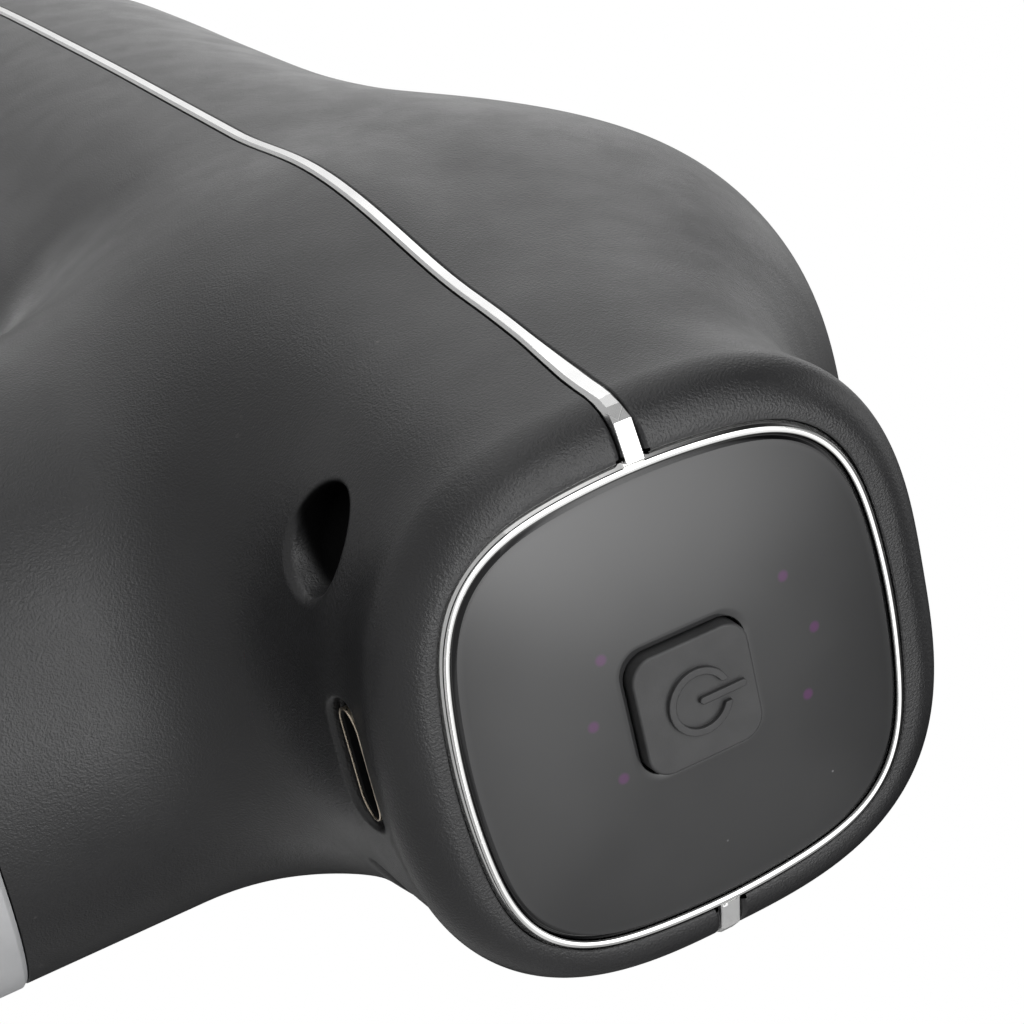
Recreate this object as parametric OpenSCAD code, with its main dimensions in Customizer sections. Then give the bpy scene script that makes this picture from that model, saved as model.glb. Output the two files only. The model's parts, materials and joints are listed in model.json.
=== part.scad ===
// Percussion massager: a barrel with a rear control panel, a dome over the
// motor, a round handle with the battery, and a crank that drives a plunger.
// Frame: +Z up, the panel faces +Y, the massage head points to -Y, and the
// origin is the centre of the flat foot under the handle. Millimetres.

/* [Body] */
// Height of the barrel axis above the foot
axis_h = 184; // [176:1:196]
// Length of the barrel shells, from panel to front edge
barrel_l = 152; // [148:1:160]
// Distance from the handle axis back to the panel
rear_y = 47.5; // [47:0.5:48.5]
// Wall thickness of the shells
wall = 2.4; // [2:0.1:2.6]

/* [Handle] */
// Outer radius of the handle
handle_r = 24.2; // [23.8:0.1:25]
// How far under the barrel axis the handle neck ends
neck_l = 44.5; // [43:0.5:47]
// Height of the grey ring under the neck
ring_h = 7; // [4:0.5:10]
// Height of the end cap
cap_h = 14; // [11:1:18]

/* [Control panel] */
// Half width of the bright bezel, outside
bezel_r = 17.5; // [17.2:0.1:17.7]
// Half width of the power button
button_r = 4.7; // [4.2:0.1:5.2]
// How far the button stands over the lens
button_up = 2; // [1.2:0.1:2.2]
// Travel of the button
button_travel = 0.4; // [0.2:0.1:0.4]

/* [Drive] */
// Stroke of the plunger
stroke = 11; // [8:1:12]
// Length of the connecting rod between centres
rod_l = 36; // [35:1:38]
// Radius of the plunger
plunger_r = 8; // [7.5:0.1:8.2]

/* [Massage head] */
// Radius of the head's ball
ball_r = 24; // [20:1:27]
// Radius of the head's stem
stem_r = 5.45; // [5.3:0.05:5.45]
// Radius of the socket in the plunger
socket_r = 5.5; // [5.5:0.05:5.8]

/* [Hidden] */
$fn = 64;

// Everything round the barrel is measured by s, the distance forward of the
// panel plane: y = rear_y - s.
rim_d = 4;          // depth of the rounded rim round the panel
rim_in = 3.4;       // how far the rim rounds in
front_y = rear_y - barrel_l;
motor_y = -9.5;     // motor and crank axis
crank_r = stroke / 2;
pin_y = motor_y + crank_r;
wrist_y = pin_y - rod_l;
collar_t = 8;
tip_y = front_y - collar_t - 3;
socket_l = 24;
flange_y = tip_y - 0.3;

// Profiles along the barrel, each [s, value]
side_t  = [[4, 21.3], [9, 22.2], [17, 23.7], [27, 25], [37, 26.5], [48, 28.2], [55, 28.9], [66, 29.5], [82, 30.3], [100, 31.2], [120, 32], [140, 32.7], [160, 33.1]];
top_t   = [[4, 21.85], [9.5, 21.2], [16.5, 24], [24, 29], [33, 35.3], [44, 40.6], [56, 43.3], [67, 42], [80, 36.2], [96, 32.8], [120, 32.4], [140, 32.8], [160, 33.1]];
under_t = [[4, 21.7], [7.4, 21.1], [10.4, 21.7], [17, 22.1], [24, 22.2], [33, 22.4], [44, 22.9], [56, 25.2], [67, 27.8], [80, 29.9], [96, 31.1], [120, 32], [140, 32.7], [160, 33.1]];
// Squareness of the section: 2 is an ellipse
top_n   = [[0, 2.9], [4, 2.82], [17, 2.6], [37, 2.35], [55, 2.3], [83, 2.06], [110, 2], [160, 2]];
under_n = [[0, 2.7], [4, 2.6], [10, 2.5], [37, 2.3], [55, 2.2], [83, 2.06], [110, 2], [160, 2]];

// Smooth curve through a table of [s, value]
function seg(t, s, i = 0) = (i >= len(t) - 2 || s < t[i + 1][0]) ? i : seg(t, s, i + 1);
function slope(t, i) =
  let (a = max(i - 1, 0), b = min(i + 1, len(t) - 1))
  (t[b][1] - t[a][1]) / (t[b][0] - t[a][0]);
function curve(t, s) =
  let (i = seg(t, s), h = t[i + 1][0] - t[i][0],
       u = max(0, min(1, (s - t[i][0]) / h)),
       m = slope(t, i) * h, n = slope(t, i + 1) * h)
  (2*u*u*u - 3*u*u + 1) * t[i][1] + (u*u*u - 2*u*u + u) * m
  + (3*u*u - 2*u*u*u) * t[i + 1][1] + (u*u*u - u*u) * n;
function lip(s) = s >= rim_d ? 0 : rim_in * (1 - sqrt(max(0, 1 - pow(1 - s / rim_d, 2))));
function side_w(s) = curve(side_t, max(s, rim_d)) - lip(s);
function top_h(s) = curve(top_t, max(s, rim_d)) - lip(s);
function under_h(s) = curve(under_t, max(s, rim_d)) - lip(s);

// Point of the barrel's section at angle a, drawn in by off
function sec(s, a, off) =
  let (c = cos(a), q = sin(a), up = a <= 180,
       e = 2 / curve(up ? top_n : under_n, s),
       w = side_w(s) - off, h = (up ? top_h(s) : under_h(s)) - off)
  [w * sign(c) * pow(abs(c), e), rear_y - s, axis_h + h * sign(q) * pow(abs(q), e)];

// Solid through rings of points, each ring of n points
module loft(rings) {
  n = len(rings[0]);
  m = len(rings);
  polyhedron(
    points = [for (r = rings) for (p = r) p],
    faces = concat(
      [[for (i = [0:n - 1]) i]],
      [[for (i = [n - 1:-1:0]) (m - 1) * n + i]],
      [for (j = [0:m - 2]) for (i = [0:n - 1]) let (k = (i + 1) % n)
        [j * n + i, (j + 1) * n + k, j * n + k]],
      [for (j = [0:m - 2]) for (i = [0:n - 1]) let (k = (i + 1) % n)
        [j * n + i, (j + 1) * n + i, (j + 1) * n + k]]));
}

rim_s = [0, 0.3, 0.9, 1.8, 2.8, 4];
far_s = [for (s = [6.5:2.5:19]) s];
body_s = concat(rim_s, far_s, [for (s = [22.5:4:barrel_l - 2]) s], [barrel_l]);
core_s = concat([for (s = [6:3:18]) s], [for (s = [22.5:4:barrel_l]) s], [barrel_l + 2]);
a_step = 7.5;

module half_barrel(a0) loft([for (s = body_s) [for (a = [a0:a_step:a0 + 180]) sec(s, a, 0)]]);
module whole_barrel(stations, off) loft([for (s = stations) [for (a = [0:a_step:359]) sec(s, a, off)]]);

// Distance fields for the blend of the handle into the barrel
function barrel_d(x, y, z) =
  let (s = rear_y - y, h = z >= 0 ? top_h(s) : under_h(s), w = side_w(s),
       n = curve(z >= 0 ? top_n : under_n, s),
       v = pow(pow(abs(x) / w, n) + pow(abs(z) / h, n), 1 / n))
  (v - 1) * norm([x, z]) / max(v, 0.001);
function soft_min(a, b, k) = let (h = max(k - abs(a - b), 0) / k) min(a, b) - h * h * k / 4;
blend = 11.5;
reach = 39;
function body_d(x, y, z) = soft_min(barrel_d(x, y, z) + 0.3, norm([x, y]) - handle_r, blend);
function cast(f, z, off, lo, hi, i = 0) =
  i > 14 ? (lo + hi) / 2 :
  let (m = (lo + hi) / 2, d = body_d(m * cos(f), m * sin(f), z) + off)
  d < 0 ? cast(f, z, off, m, hi, i + 1) : cast(f, z, off, lo, m, i + 1);
module neck(levels, off)
  loft([for (z = levels) [for (f = [0:7.5:359]) let (r = cast(f, z, off, handle_r - off - 1, reach))
    [r * cos(f), r * sin(f), axis_h + z]]]);
neck_z = concat([-neck_l], [for (z = [-42:3:-36]) z], [for (z = [-34:1.5:-19]) z], [-15]);

// Shapes in the panel plane: p is a rounded square of half width r
function squircle(r, n = 3.03, k = 72) = [for (i = [0:k - 1]) let (a = i * 360 / k, c = cos(a), q = sin(a))
  [r * sign(c) * pow(abs(c), 2 / n), r * sign(q) * pow(abs(q), 2 / n)]];
// Extrude forward from depth s0 to s1 behind the panel plane
module slab(s0, s1) translate([0, rear_y - s0, axis_h]) rotate([90, 0, 0]) linear_extrude(s1 - s0) children();
module along_y(y0, y1, r, z = 0, x = 0) translate([x, y0, axis_h + z]) rotate([90, 0, 0]) cylinder(r = r, h = y0 - y1);
module post(x, y, z0, z1, r) translate([x, y, axis_h + z0]) cylinder(r = r, h = z1 - z0);
module block(x0, x1, y0, y1, z0, z1) translate([x0, y0, axis_h + z0]) cube([x1 - x0, y1 - y0, z1 - z0]);
module rounded(w, h, r) {
  square([w - 2 * r, h], center = true);
  square([w, h - 2 * r], center = true);
  for (x = [-1, 1]) for (y = [-1, 1]) translate([x * (w / 2 - r), y * (h / 2 - r)]) circle(r);
}
module mirrored() { children(); mirror([1, 0, 0]) children(); }

// Side trim: a bright bead in the joint between the shells
function trim_z(s) = s < 9 ? 0.8 : s > 15 ? 0.55 : 0.8 - 0.25 * (s - 9) / 6;
trim_s = concat([0.35, 0.9, 1.8, 2.8, 4, 6, 8, 10, 12, 15], [for (s = [19:5:barrel_l - 4]) s], [barrel_l - 1]);
module trim(grow) loft([for (s = trim_s)
  let (w = side_w(s), z = trim_z(s) + grow, d = s < 4 ? 1.6 : 1.3)
  [[w - d - grow, rear_y - s + (s == trim_s[0] ? grow : 0), axis_h - z], [w + 0.05, rear_y - s + (s == trim_s[0] ? grow : 0), axis_h - z],
   [w + 0.3 + grow * 4, rear_y - s + (s == trim_s[0] ? grow : 0), axis_h - z * 0.5], [w + 0.3 + grow * 4, rear_y - s + (s == trim_s[0] ? grow : 0), axis_h + z * 0.5],
   [w + 0.05, rear_y - s + (s == trim_s[0] ? grow : 0), axis_h + z], [w - d - grow, rear_y - s + (s == trim_s[0] ? grow : 0), axis_h + z]]]);

screw_xy = [[14.5, rear_y - 13.4], [22, front_y + 12]];
leg_xy = [[19, 6], [19, -45.5]];
board_xy = [[7.5, 14.6], [7.5, -14.6]];
usb_s = 9.03;

module panel_pocket() {
  slab(-2, 3.7) polygon(squircle(bezel_r + 0.1));
  slab(3, 8) polygon(squircle(13));
  mirrored() for (p = board_xy) along_y(rear_y - 4, rear_y - 7, 0.95, p[1], p[0]);
}

// Casing
module upper_shell() {
  color("#26272a") difference() {
    resize([0, 0, 0]) difference() {
      union() {
        difference() {
          half_barrel(0);
          whole_barrel(core_s, wall);
        }
        intersection() {
          whole_barrel(body_s, 1);
          mirrored() for (p = screw_xy) post(p[0], p[1], 0, 44, 4.2, $fn = 24);
        }
      }
      translate([0, 0, -0.001]) trim(0.04);
      mirror([1, 0, 0]) trim(0.04);
    }
    panel_pocket();
    mirrored() for (p = screw_xy) post(p[0], p[1], -1, 11, 1.25);
  }
}

module lower_shell() {
  color("#26272a") difference() {
    resize([0, 0, 0]) difference() {
      union() {
        difference() {
          union() {
            half_barrel(180);
            neck(neck_z, 0);
          }
          whole_barrel(core_s, wall);
          neck(concat([-neck_l - 1], neck_z), wall);
        }
        intersection() {
          union() {
            whole_barrel(body_s, 1);
            neck(neck_z, 1);
          }
          mirrored() {
            for (p = screw_xy) post(p[0], p[1], -36, 0, 5.2, $fn = 24);
            for (p = leg_xy) post(p[0], p[1], p[1] > 0 ? -22 : -30, 0, 4, $fn = 24);
            block(leg_xy[0][0], 27, leg_xy[0][1] - 1.2, leg_xy[0][1] + 1.2, -22, -0.5);
          }
        }
      }
      trim(0.04);
      mirror([1, 0, 0]) trim(0.04);
    }
    panel_pocket();
    mirrored() {
      post(screw_xy[0][0], screw_xy[0][1], -30, -11, 3.4);
      post(screw_xy[1][0], screw_xy[1][1], -36, -15, 3.7);
      for (p = screw_xy) post(p[0], p[1], -30, 1, 1.7);
      for (p = leg_xy) post(p[0], p[1], -12, 1, 1.25);
    }
    translate([0, rear_y - usb_s, axis_h - 24]) linear_extrude(10) rounded(10.4, 4.2, 2.05);
  }
}

module side_trim_left() color("#d9dadc") trim(0);
module side_trim_right() color("#d9dadc") mirror([1, 0, 0]) trim(0);

// Control panel
module rear_bezel() {
  color("#d9dadc") difference() {
    slab(-0.3, 3.6) polygon(squircle(bezel_r));
    slab(-1, 2.2) polygon(squircle(bezel_r - 0.8));
    slab(2, 4) polygon(squircle(bezel_r - 1.7));
  }
}

module panel_lens() {
  color("#101113") difference() {
    slab(0, 2.2) polygon(squircle(bezel_r - 0.85));
    slab(-1, 3) rounded(2 * button_r + 0.5, 2 * button_r + 0.5, 2.1);
  }
}

module power_button() {
  color("#303134") {
    slab(-button_up, 2.7) rounded(2 * button_r, 2 * button_r, 1.9);
    slab(2.4, 3.2) rounded(2 * button_r + 2.4, 2 * button_r + 2.4, 2.6);
    along_y(rear_y - 3.2, rear_y - 3.85, 1.2);
    // raised power symbol
    slab(-button_up - 0.22, 0.4 - button_up) difference() {
      circle(2.5);
      circle(1.95);
      translate([-0.8, 1]) square([1.6, 3]);
    }
    slab(-button_up - 0.22, 0.4 - button_up) translate([-0.27, -0.1]) square([0.54, 3.75]);
  }
}

led_xz = [[-4.75, 9.5], [0, 11.1], [4.75, 9.5], [-4.6, -5.5], [0, -6.95], [4.6, -5.5]];
module light_guide() {
  color("#e8e4ee") difference() {
    union() {
      slab(2.3, 3.5) polygon(squircle(12.7));
      for (p = led_xz) along_y(rear_y - 3.5, rear_y - 5.3, 1.4, p[1], p[0]);
    }
    slab(2, 4) rounded(2 * button_r + 3.4, 2 * button_r + 3.4, 2.8);
  }
}

module status_leds() color("#c46ad0") for (p = led_xz) slab(5.4, 6) translate(p) square([1.6, 0.8], center = true);

module tact_switch() {
  color("#b8bac0") {
    slab(4.8, 6) square([4.5, 4.5], center = true);
    along_y(rear_y - 4.3, rear_y - 4.8, 1.1);
  }
}

module control_board() {
  color("#1d5a3a") difference() {
    slab(6, 7.4) polygon(squircle(17.1));
    mirrored() for (p = board_xy) along_y(rear_y - 5, rear_y - 8, 1.2, p[1], p[0]);
  }
}

module board_screws() {
  color("#8b8d92") mirrored() for (p = board_xy) difference() {
    union() {
      along_y(rear_y - 7.4, rear_y - 8.6, 1.9, p[1], p[0]);
      along_y(rear_y - 4.3, rear_y - 7.4, 0.9, p[1], p[0]);
    }
    slab(8.1, 9) translate(p) { square([2.4, 0.5], center = true); square([0.5, 2.4], center = true); }
  }
}

// Charge socket, mouth down, on the control board's forward face
module usb_socket() {
  color("#c9b27a") translate([0, rear_y - usb_s, axis_h - 20.9]) {
    difference() {
      linear_extrude(7.4) rounded(8.94, 3.26, 1.6);
      translate([0, 0, -1]) linear_extrude(7.4) rounded(8.34, 2.66, 1.3);
    }
    translate([-3.35, -0.35, 0.6]) cube([6.7, 0.7, 6]);
  }
}

module screw(x, y, z_head, z_tip, r, head_r, head_h) {
  difference() {
    union() {
      post(x, y, z_head, z_head + head_h, head_r);
      post(x, y, z_head + head_h, z_tip, r);
    }
    for (a = [0, 90]) translate([x, y, axis_h + z_head]) rotate(a) cube([head_r * 1.3, 0.7, 1.6], center = true);
  }
}

module shell_screws() {
  color("#55575c") mirrored() {
    screw(screw_xy[0][0], screw_xy[0][1], -13.4, 9, 1.2, 2.9, 2.4);
    screw(screw_xy[1][0], screw_xy[1][1], -17.4, 9, 1.2, 2.9, 2.4);
  }
}

// Drive frame
module chassis() {
  color("#a7a9ad") difference() {
    union() {
      block(-21, 21, -53, 10.5, 12, 15);
      block(-21, 21, -53, -50, -14, 12.5);
      along_y(-50, -92, 13);
      mirrored() for (p = leg_xy) post(p[0], p[1], 1, 12.5, 3.5);
      mirrored() translate([15, -50.5, axis_h]) rotate([90, 0, 90]) linear_extrude(2.5) polygon([[0, 12.5], [14, 12.5], [0, 1.5]]);
    }
    along_y(-40, -93, 10.6);
    post(0, motor_y, 11, 16, 7.5);
    for (a = [30, 150, 270]) post(12.5 * cos(a), motor_y + 12.5 * sin(a), 11, 16, 1.6);
    mirrored() for (p = leg_xy) post(p[0], p[1], 0, 16, 1.7);
    mirrored() for (y = [-30, -38]) post(10, y, 11, 16, 2.5);
  }
}

module chassis_dampers() {
  color("#1c1c1e") mirrored() for (p = leg_xy) difference() {
    post(p[0], p[1], 0, 1, 4);
    post(p[0], p[1], -1, 2, 1.7);
  }
}

module chassis_screws() {
  color("#8b8d92") mirrored() for (p = leg_xy) difference() {
    union() {
      post(p[0], p[1], 15, 17, 3);
      post(p[0], p[1], -9, 15, 1.2);
    }
    for (a = [0, 90]) translate([p[0], p[1], axis_h + 17]) rotate(a) cube([4, 0.7, 1.6], center = true);
  }
}

// Motor: the stator stands still and the can turns round it
module motor_base() {
  color("#8f9196") difference() {
    union() {
      post(0, motor_y, 15, 16.5, 16.5);
      post(0, motor_y, 16.5, 28.6, 6.5);
    }
    post(0, motor_y, 14, 29, 5.5);
    block(-4.2, 4.2, motor_y + 13.5, motor_y + 18, 14, 17);
    for (a = [30, 150, 270]) post(12.5 * cos(a), motor_y + 12.5 * sin(a), 14, 17, 1.25);
  }
}

module motor_screws() {
  color("#8b8d92") for (a = [30, 150, 270]) {
    post(12.5 * cos(a), motor_y + 12.5 * sin(a), 11.2, 12, 2.4);
    post(12.5 * cos(a), motor_y + 12.5 * sin(a), 12, 16.3, 1.2);
  }
}

module ring_bearing(z0, z1, ri, ro) {
  difference() { post(0, motor_y, z0, z1, ro); post(0, motor_y, z0 - 1, z1 + 1, ri); }
}
module motor_bearings() {
  color("#c6c8cc") {
    ring_bearing(15, 19, 2.53, 5.5);
    ring_bearing(24.4, 28.4, 2.53, 5.5);
  }
}

module stator_flat() {
  difference() {
    circle(14.9);
    circle(6.5);
    for (i = [0:11]) rotate(i * 30 + 15) {
      polygon([[8.6, -0.75], [13.3, -2], [13.3, 2], [8.6, 0.75]]);
      translate([12.5, -0.5]) square([4, 1]);
    }
  }
}
module stator_core() color("#4a4c52") translate([0, motor_y, axis_h + 18]) linear_extrude(9) stator_flat();

module stator_windings() {
  color("#b06a2c") for (i = [0:11]) translate([0, motor_y, axis_h]) rotate(i * 30) difference() {
    translate([9.4, -2.15, 16.9]) cube([3.6, 4.3, 11.2]);
    translate([0, 0, 17.98]) linear_extrude(9.04) difference() {
      circle(15.5);
      for (j = [-15, 15]) rotate(j) polygon([[8.65, -0.73], [13.26, -1.97], [13.26, 1.97], [8.65, 0.73]]);
    }
  }
}

module rotor_can() {
  color("#6b6d73") difference() {
    union() {
      translate([0, motor_y, axis_h + 17.3]) rotate_extrude() polygon([[0, 0], [17.5, 0], [17.5, 11.7], [15.5, 13.7], [0, 13.7]]);
      post(0, motor_y, 31, 32, 5);
    }
    post(0, motor_y, 17, 29.4, 16.6);
    post(0, motor_y, 28, 33, 2.5);
    for (i = [0:5]) translate([0, motor_y, axis_h]) rotate(i * 60) translate([10.5, 0, 28]) cylinder(r = 2.6, h = 4);
  }
}

module rotor_magnets() {
  color("#3b3d44") for (i = [0:13]) translate([0, motor_y, axis_h + 17.6]) rotate(i * 360 / 14)
    rotate_extrude(angle = 22) translate([15.4, 0]) square([1.15, 10.4]);
}

module motor_shaft() color("#c6c8cc") post(0, motor_y, 4.8, 32.4, 2.5);

module crank_wheel() {
  color("#9a8f63") difference() {
    union() {
      post(0, motor_y, 4.8, 11, 9.8);
      intersection() {
        post(0, motor_y, 4.8, 9.5, 14);
        block(-14, 14, motor_y - 14, motor_y - 1, 4, 12);
      }
    }
    post(0, motor_y, 4, 12, 2.5);
    post(0, pin_y, 4, 6.2, 3.3);
    mirrored() post(9.5, motor_y - 5, 3, 12, 1.5);
  }
}

// Rod: the pin that would screw into the wheel stops just short of it
module crank_pin() {
  color("#c6c8cc") difference() {
    union() {
      post(0, pin_y, -4, 4.5, 3);
      post(0, pin_y, -6.6, -4, 4.6);
      post(0, pin_y, 3, 3.8, 4.2);
    }
    translate([0, pin_y, axis_h - 7]) cylinder(r = 1.8, h = 2, $fn = 6);
  }
}

module rod_bearing() {
  color("#b9bbc0") difference() {
    post(0, pin_y, -3, 3, 9.5);
    post(0, pin_y, -4, 4, 3);
    for (z = [-3.1, 2.6]) difference() { post(0, pin_y, z, z + 0.5, 7.6); post(0, pin_y, z - 1, z + 1, 5); }
  }
}

module connecting_rod() {
  color("#77797f") difference() {
    union() {
      post(0, pin_y, -3.6, 3.6, 11.8);
      block(-3.5, 3.5, wrist_y, pin_y - 10, -3, 3);
      post(0, wrist_y, -3, 3, 5.5);
    }
    post(0, pin_y, -4, 4, 9.53);
    post(0, wrist_y, -4, 4, 2.53);
    block(-1.8, 1.8, wrist_y + 8, pin_y - 14, -4, 4);
  }
}

// Plunger and its guide
module wrist_pin() color("#c6c8cc") post(0, wrist_y, -7.2, 7.2, 2.5);

module plunger() {
  color("#cfd0d3") difference() {
    along_y(wrist_y + 7.5, tip_y, plunger_r);
    block(-10, 10, wrist_y - 6.5, wrist_y + 9, -3.3, 3.3);
    post(0, wrist_y, -9, 9, 2.5);
    along_y(tip_y + socket_l, tip_y - 1, socket_r);
  }
}

module guide_bush() {
  color("#c8b06a") difference() {
    along_y(-50, -92, 10.6);
    along_y(-49, -93, plunger_r + 0.05);
  }
}

module front_collar() {
  color("#1a1b1d") translate([0, front_y, axis_h]) rotate([90, 0, 0]) rotate_extrude()
    polygon([[17, 0.5], [17, collar_t], [27.5, collar_t], [30.5, collar_t - 1], [32, collar_t - 3], [32.6, collar_t - 6], [32.8, 0],
             [30.2, 0], [30.2, -6], [28.2, -6], [28.2, 0.5]]);
}

module plunger_seal() {
  color("#111112") translate([0, front_y, axis_h]) rotate([90, 0, 0]) rotate_extrude()
    polygon([[plunger_r + 0.35, 5], [plunger_r + 0.35, 7.6], [10.2, 7.6], [11.5, 5.6], [13, 7], [14.5, 5.6], [17, 5.6], [17, 2.6], [14.8, 2.6], [13, 4.6], [11.2, 3.2], [10, 5]]);
}

// Pull-off massage head
module head_stem() {
  color("#2b2c2f") difference() {
    union() {
      along_y(tip_y + 22, flange_y - 20, stem_r);
      along_y(flange_y, flange_y - 3.2, 11);
    }
    for (d = [6, 15]) translate([0, tip_y + d, axis_h]) rotate([90, 0, 0]) rotate_extrude() translate([stem_r - 1.2, -0.9]) square([3, 1.8]);
    along_y(tip_y + 23, tip_y + 4, 3.2);
  }
}

module head_o_rings() {
  color("#0d0d0e") for (d = [6, 15]) translate([0, tip_y + d, axis_h]) rotate([90, 0, 0])
    rotate_extrude() translate([stem_r - 0.59, 0]) circle(0.6, $fn = 24);
}

ball_y = flange_y - 3.2 - sqrt(ball_r * ball_r - 169);
module head_ball() {
  color("#232427") difference() {
    translate([0, ball_y, axis_h]) rotate([90, 0, 0]) rotate_extrude($fn = 96) difference() {
      circle(ball_r);
      translate([-40, -40]) square([40, 80]);
      translate([-40, -40]) square([80, 40 + ball_y - flange_y + 3.2]);
    }
    along_y(flange_y, flange_y - 20.2, stem_r + 0.03);
  }
}

// Handle
grip_top = axis_h - neck_l - ring_h - 0.2;
module handle_ring() {
  color("#a4a6aa") translate([0, 0, axis_h - neck_l - ring_h]) rotate_extrude()
    polygon([[22.45, 0], [handle_r + 0.1, 0], [handle_r + 0.2, 0.4], [handle_r + 0.2, ring_h - 0.5], [handle_r + 0.1, ring_h - 0.1], [22.45, ring_h - 0.1]]);
}

module handle_tube() {
  color("#2a2b2e") {
    rotate_extrude() polygon([[20.2, cap_h + 0.2], [22.4, cap_h + 0.2], [22.4, axis_h - neck_l - 0.15],
      [handle_r - wall - 0.1, axis_h - neck_l - 0.15], [handle_r - wall - 0.1, axis_h - neck_l + 9], [20.2, axis_h - neck_l + 9]]);
  }
}

module grip_sleeve() {
  color("#1f2022") rotate_extrude() polygon([[22.45, cap_h + 0.2], [handle_r, cap_h + 0.2], [handle_r, grip_top], [22.45, grip_top]]);
}

module battery_cells() {
  color("#3f6fb0") for (y = [-9.8, 0.3]) translate([-16.3, y, 24]) translate([16.3, 4.75, 0]) linear_extrude(62) rounded(32.6, 9.5, 2);
}

module battery_frame() {
  color("#34363a") difference() {
    union() {
      translate([0, 0, 20.5]) cylinder(r = 20, h = 3.2);
      translate([0, 0, 86.3]) cylinder(r = 20, h = 3);
      for (x = [-19.4, 16.6]) translate([x, -3, 22]) cube([2.8, 6, 66]);
    }
    translate([0, 14, 80]) cylinder(r = 4, h = 12);
    for (x = [-12, 12]) translate([x, 0, 15]) cylinder(r = 1.2, h = 8);
  }
}

module protection_board() {
  color("#1d5a3a") {
    translate([-12, -6, 89.3]) cube([24, 12, 1.2]);
    for (x = [-8, -2, 4]) translate([x, -3, 90.5]) cube([4, 5, 1.4]);
  }
}

// Lead through points [y, z] in the plane at x
function along(p, i) = let (d = p[min(i + 1, len(p) - 1)] - p[max(i - 1, 0)]) d / norm(d);
function spline(p, n) = [for (i = [0:len(p) - 2]) for (k = [0:n - 1]) let (u = k / n, a = p[i], b = p[i + 1],
    m = (p[i + 1] - p[max(i - 1, 0)]) / 2, q = (p[min(i + 2, len(p) - 1)] - p[i]) / 2)
  (2*u*u*u - 3*u*u + 1) * a + (u*u*u - 2*u*u + u) * m + (3*u*u - 2*u*u*u) * b + (u*u*u - u*u) * q];
module lead(x, pts, r) {
  p = concat(spline(pts, 5), [pts[len(pts) - 1]]);
  loft([for (i = [0:len(p) - 1]) let (t = along(p, i))
    [for (a = [0:36:324]) [x + r * cos(a), p[i][0] - t[1] * r * sin(a), p[i][1] + t[0] * r * sin(a)]]]);
}
module battery_leads() {
  color("#b3261e") for (x = [-2.2, 2.2]) lead(x, [[4, 90.8], [4.6, 93.5], [9, 100], [13.5, 112], [14, 135], [16, 152], [22, axis_h - 19], [31, axis_h - 10], [rear_y - 7.8, axis_h - 7]], 0.9);
}
module motor_leads() {
  color("#d8b13a") for (x = [-3, 0, 3]) lead(x, [[motor_y + 13.8, axis_h + 15.6], [11, axis_h + 15.6], [17, axis_h + 13.5], [27, axis_h + 9.5], [rear_y - 7.7, axis_h + 8]], 0.5);
}

// The cap's floor is at 0.8, so the part rests on the rubber foot
module end_cap() {
  color("#1a1b1d") difference() {
    rotate_extrude() polygon([[0, 0.8], [19.8, 0.8], [22, 1.4], [23.6, 3], [handle_r, 5.5], [handle_r, cap_h], [20, cap_h], [20, cap_h + 6], [18, cap_h + 6], [18, 6], [0, 6]]);
    cylinder(r = 17.3, h = 3, center = true);
    for (x = [-12, 12]) translate([x, 0, 0]) { cylinder(r = 1.6, h = 10); cylinder(r = 2.9, h = 3.4); }
  }
}

module end_cap_screws() {
  color("#8b8d92") for (x = [-12, 12]) translate([x, 0, 1.9]) difference() {
    union() {
      cylinder(r = 2.6, h = 1.5);
      cylinder(r = 1.15, h = 20.4);
    }
    for (a = [0, 90]) rotate(a) cube([3.6, 0.6, 1.4], center = true);
  }
}

module foot_pad() {
  color("#121213") difference() {
    rotate_extrude() polygon([[0, 0], [16.6, 0], [17.2, 0.6], [17.2, 1.5], [0, 1.5]]);
    for (r = [8, 12]) translate([0, 0, -0.1]) rotate_extrude() translate([r, 0]) square([0.8, 0.5]);
  }
}

upper_shell();
lower_shell();
side_trim_left();
side_trim_right();
rear_bezel();
panel_lens();
power_button();
light_guide();
status_leds();
tact_switch();
control_board();
board_screws();
usb_socket();
shell_screws();
chassis();
chassis_dampers();
chassis_screws();
motor_base();
motor_screws();
motor_bearings();
stator_core();
stator_windings();
rotor_can();
rotor_magnets();
motor_shaft();
crank_wheel();
crank_pin();
rod_bearing();
connecting_rod();
wrist_pin();
plunger();
guide_bush();
front_collar();
plunger_seal();
head_stem();
head_o_rings();
head_ball();
handle_ring();
handle_tube();
grip_sleeve();
battery_cells();
battery_frame();
protection_board();
battery_leads();
motor_leads();
end_cap();
end_cap_screws();
foot_pad();
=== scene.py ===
import bpy
import bmesh
import json
import math
import numpy as np
from mathutils import Matrix, Vector


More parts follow.
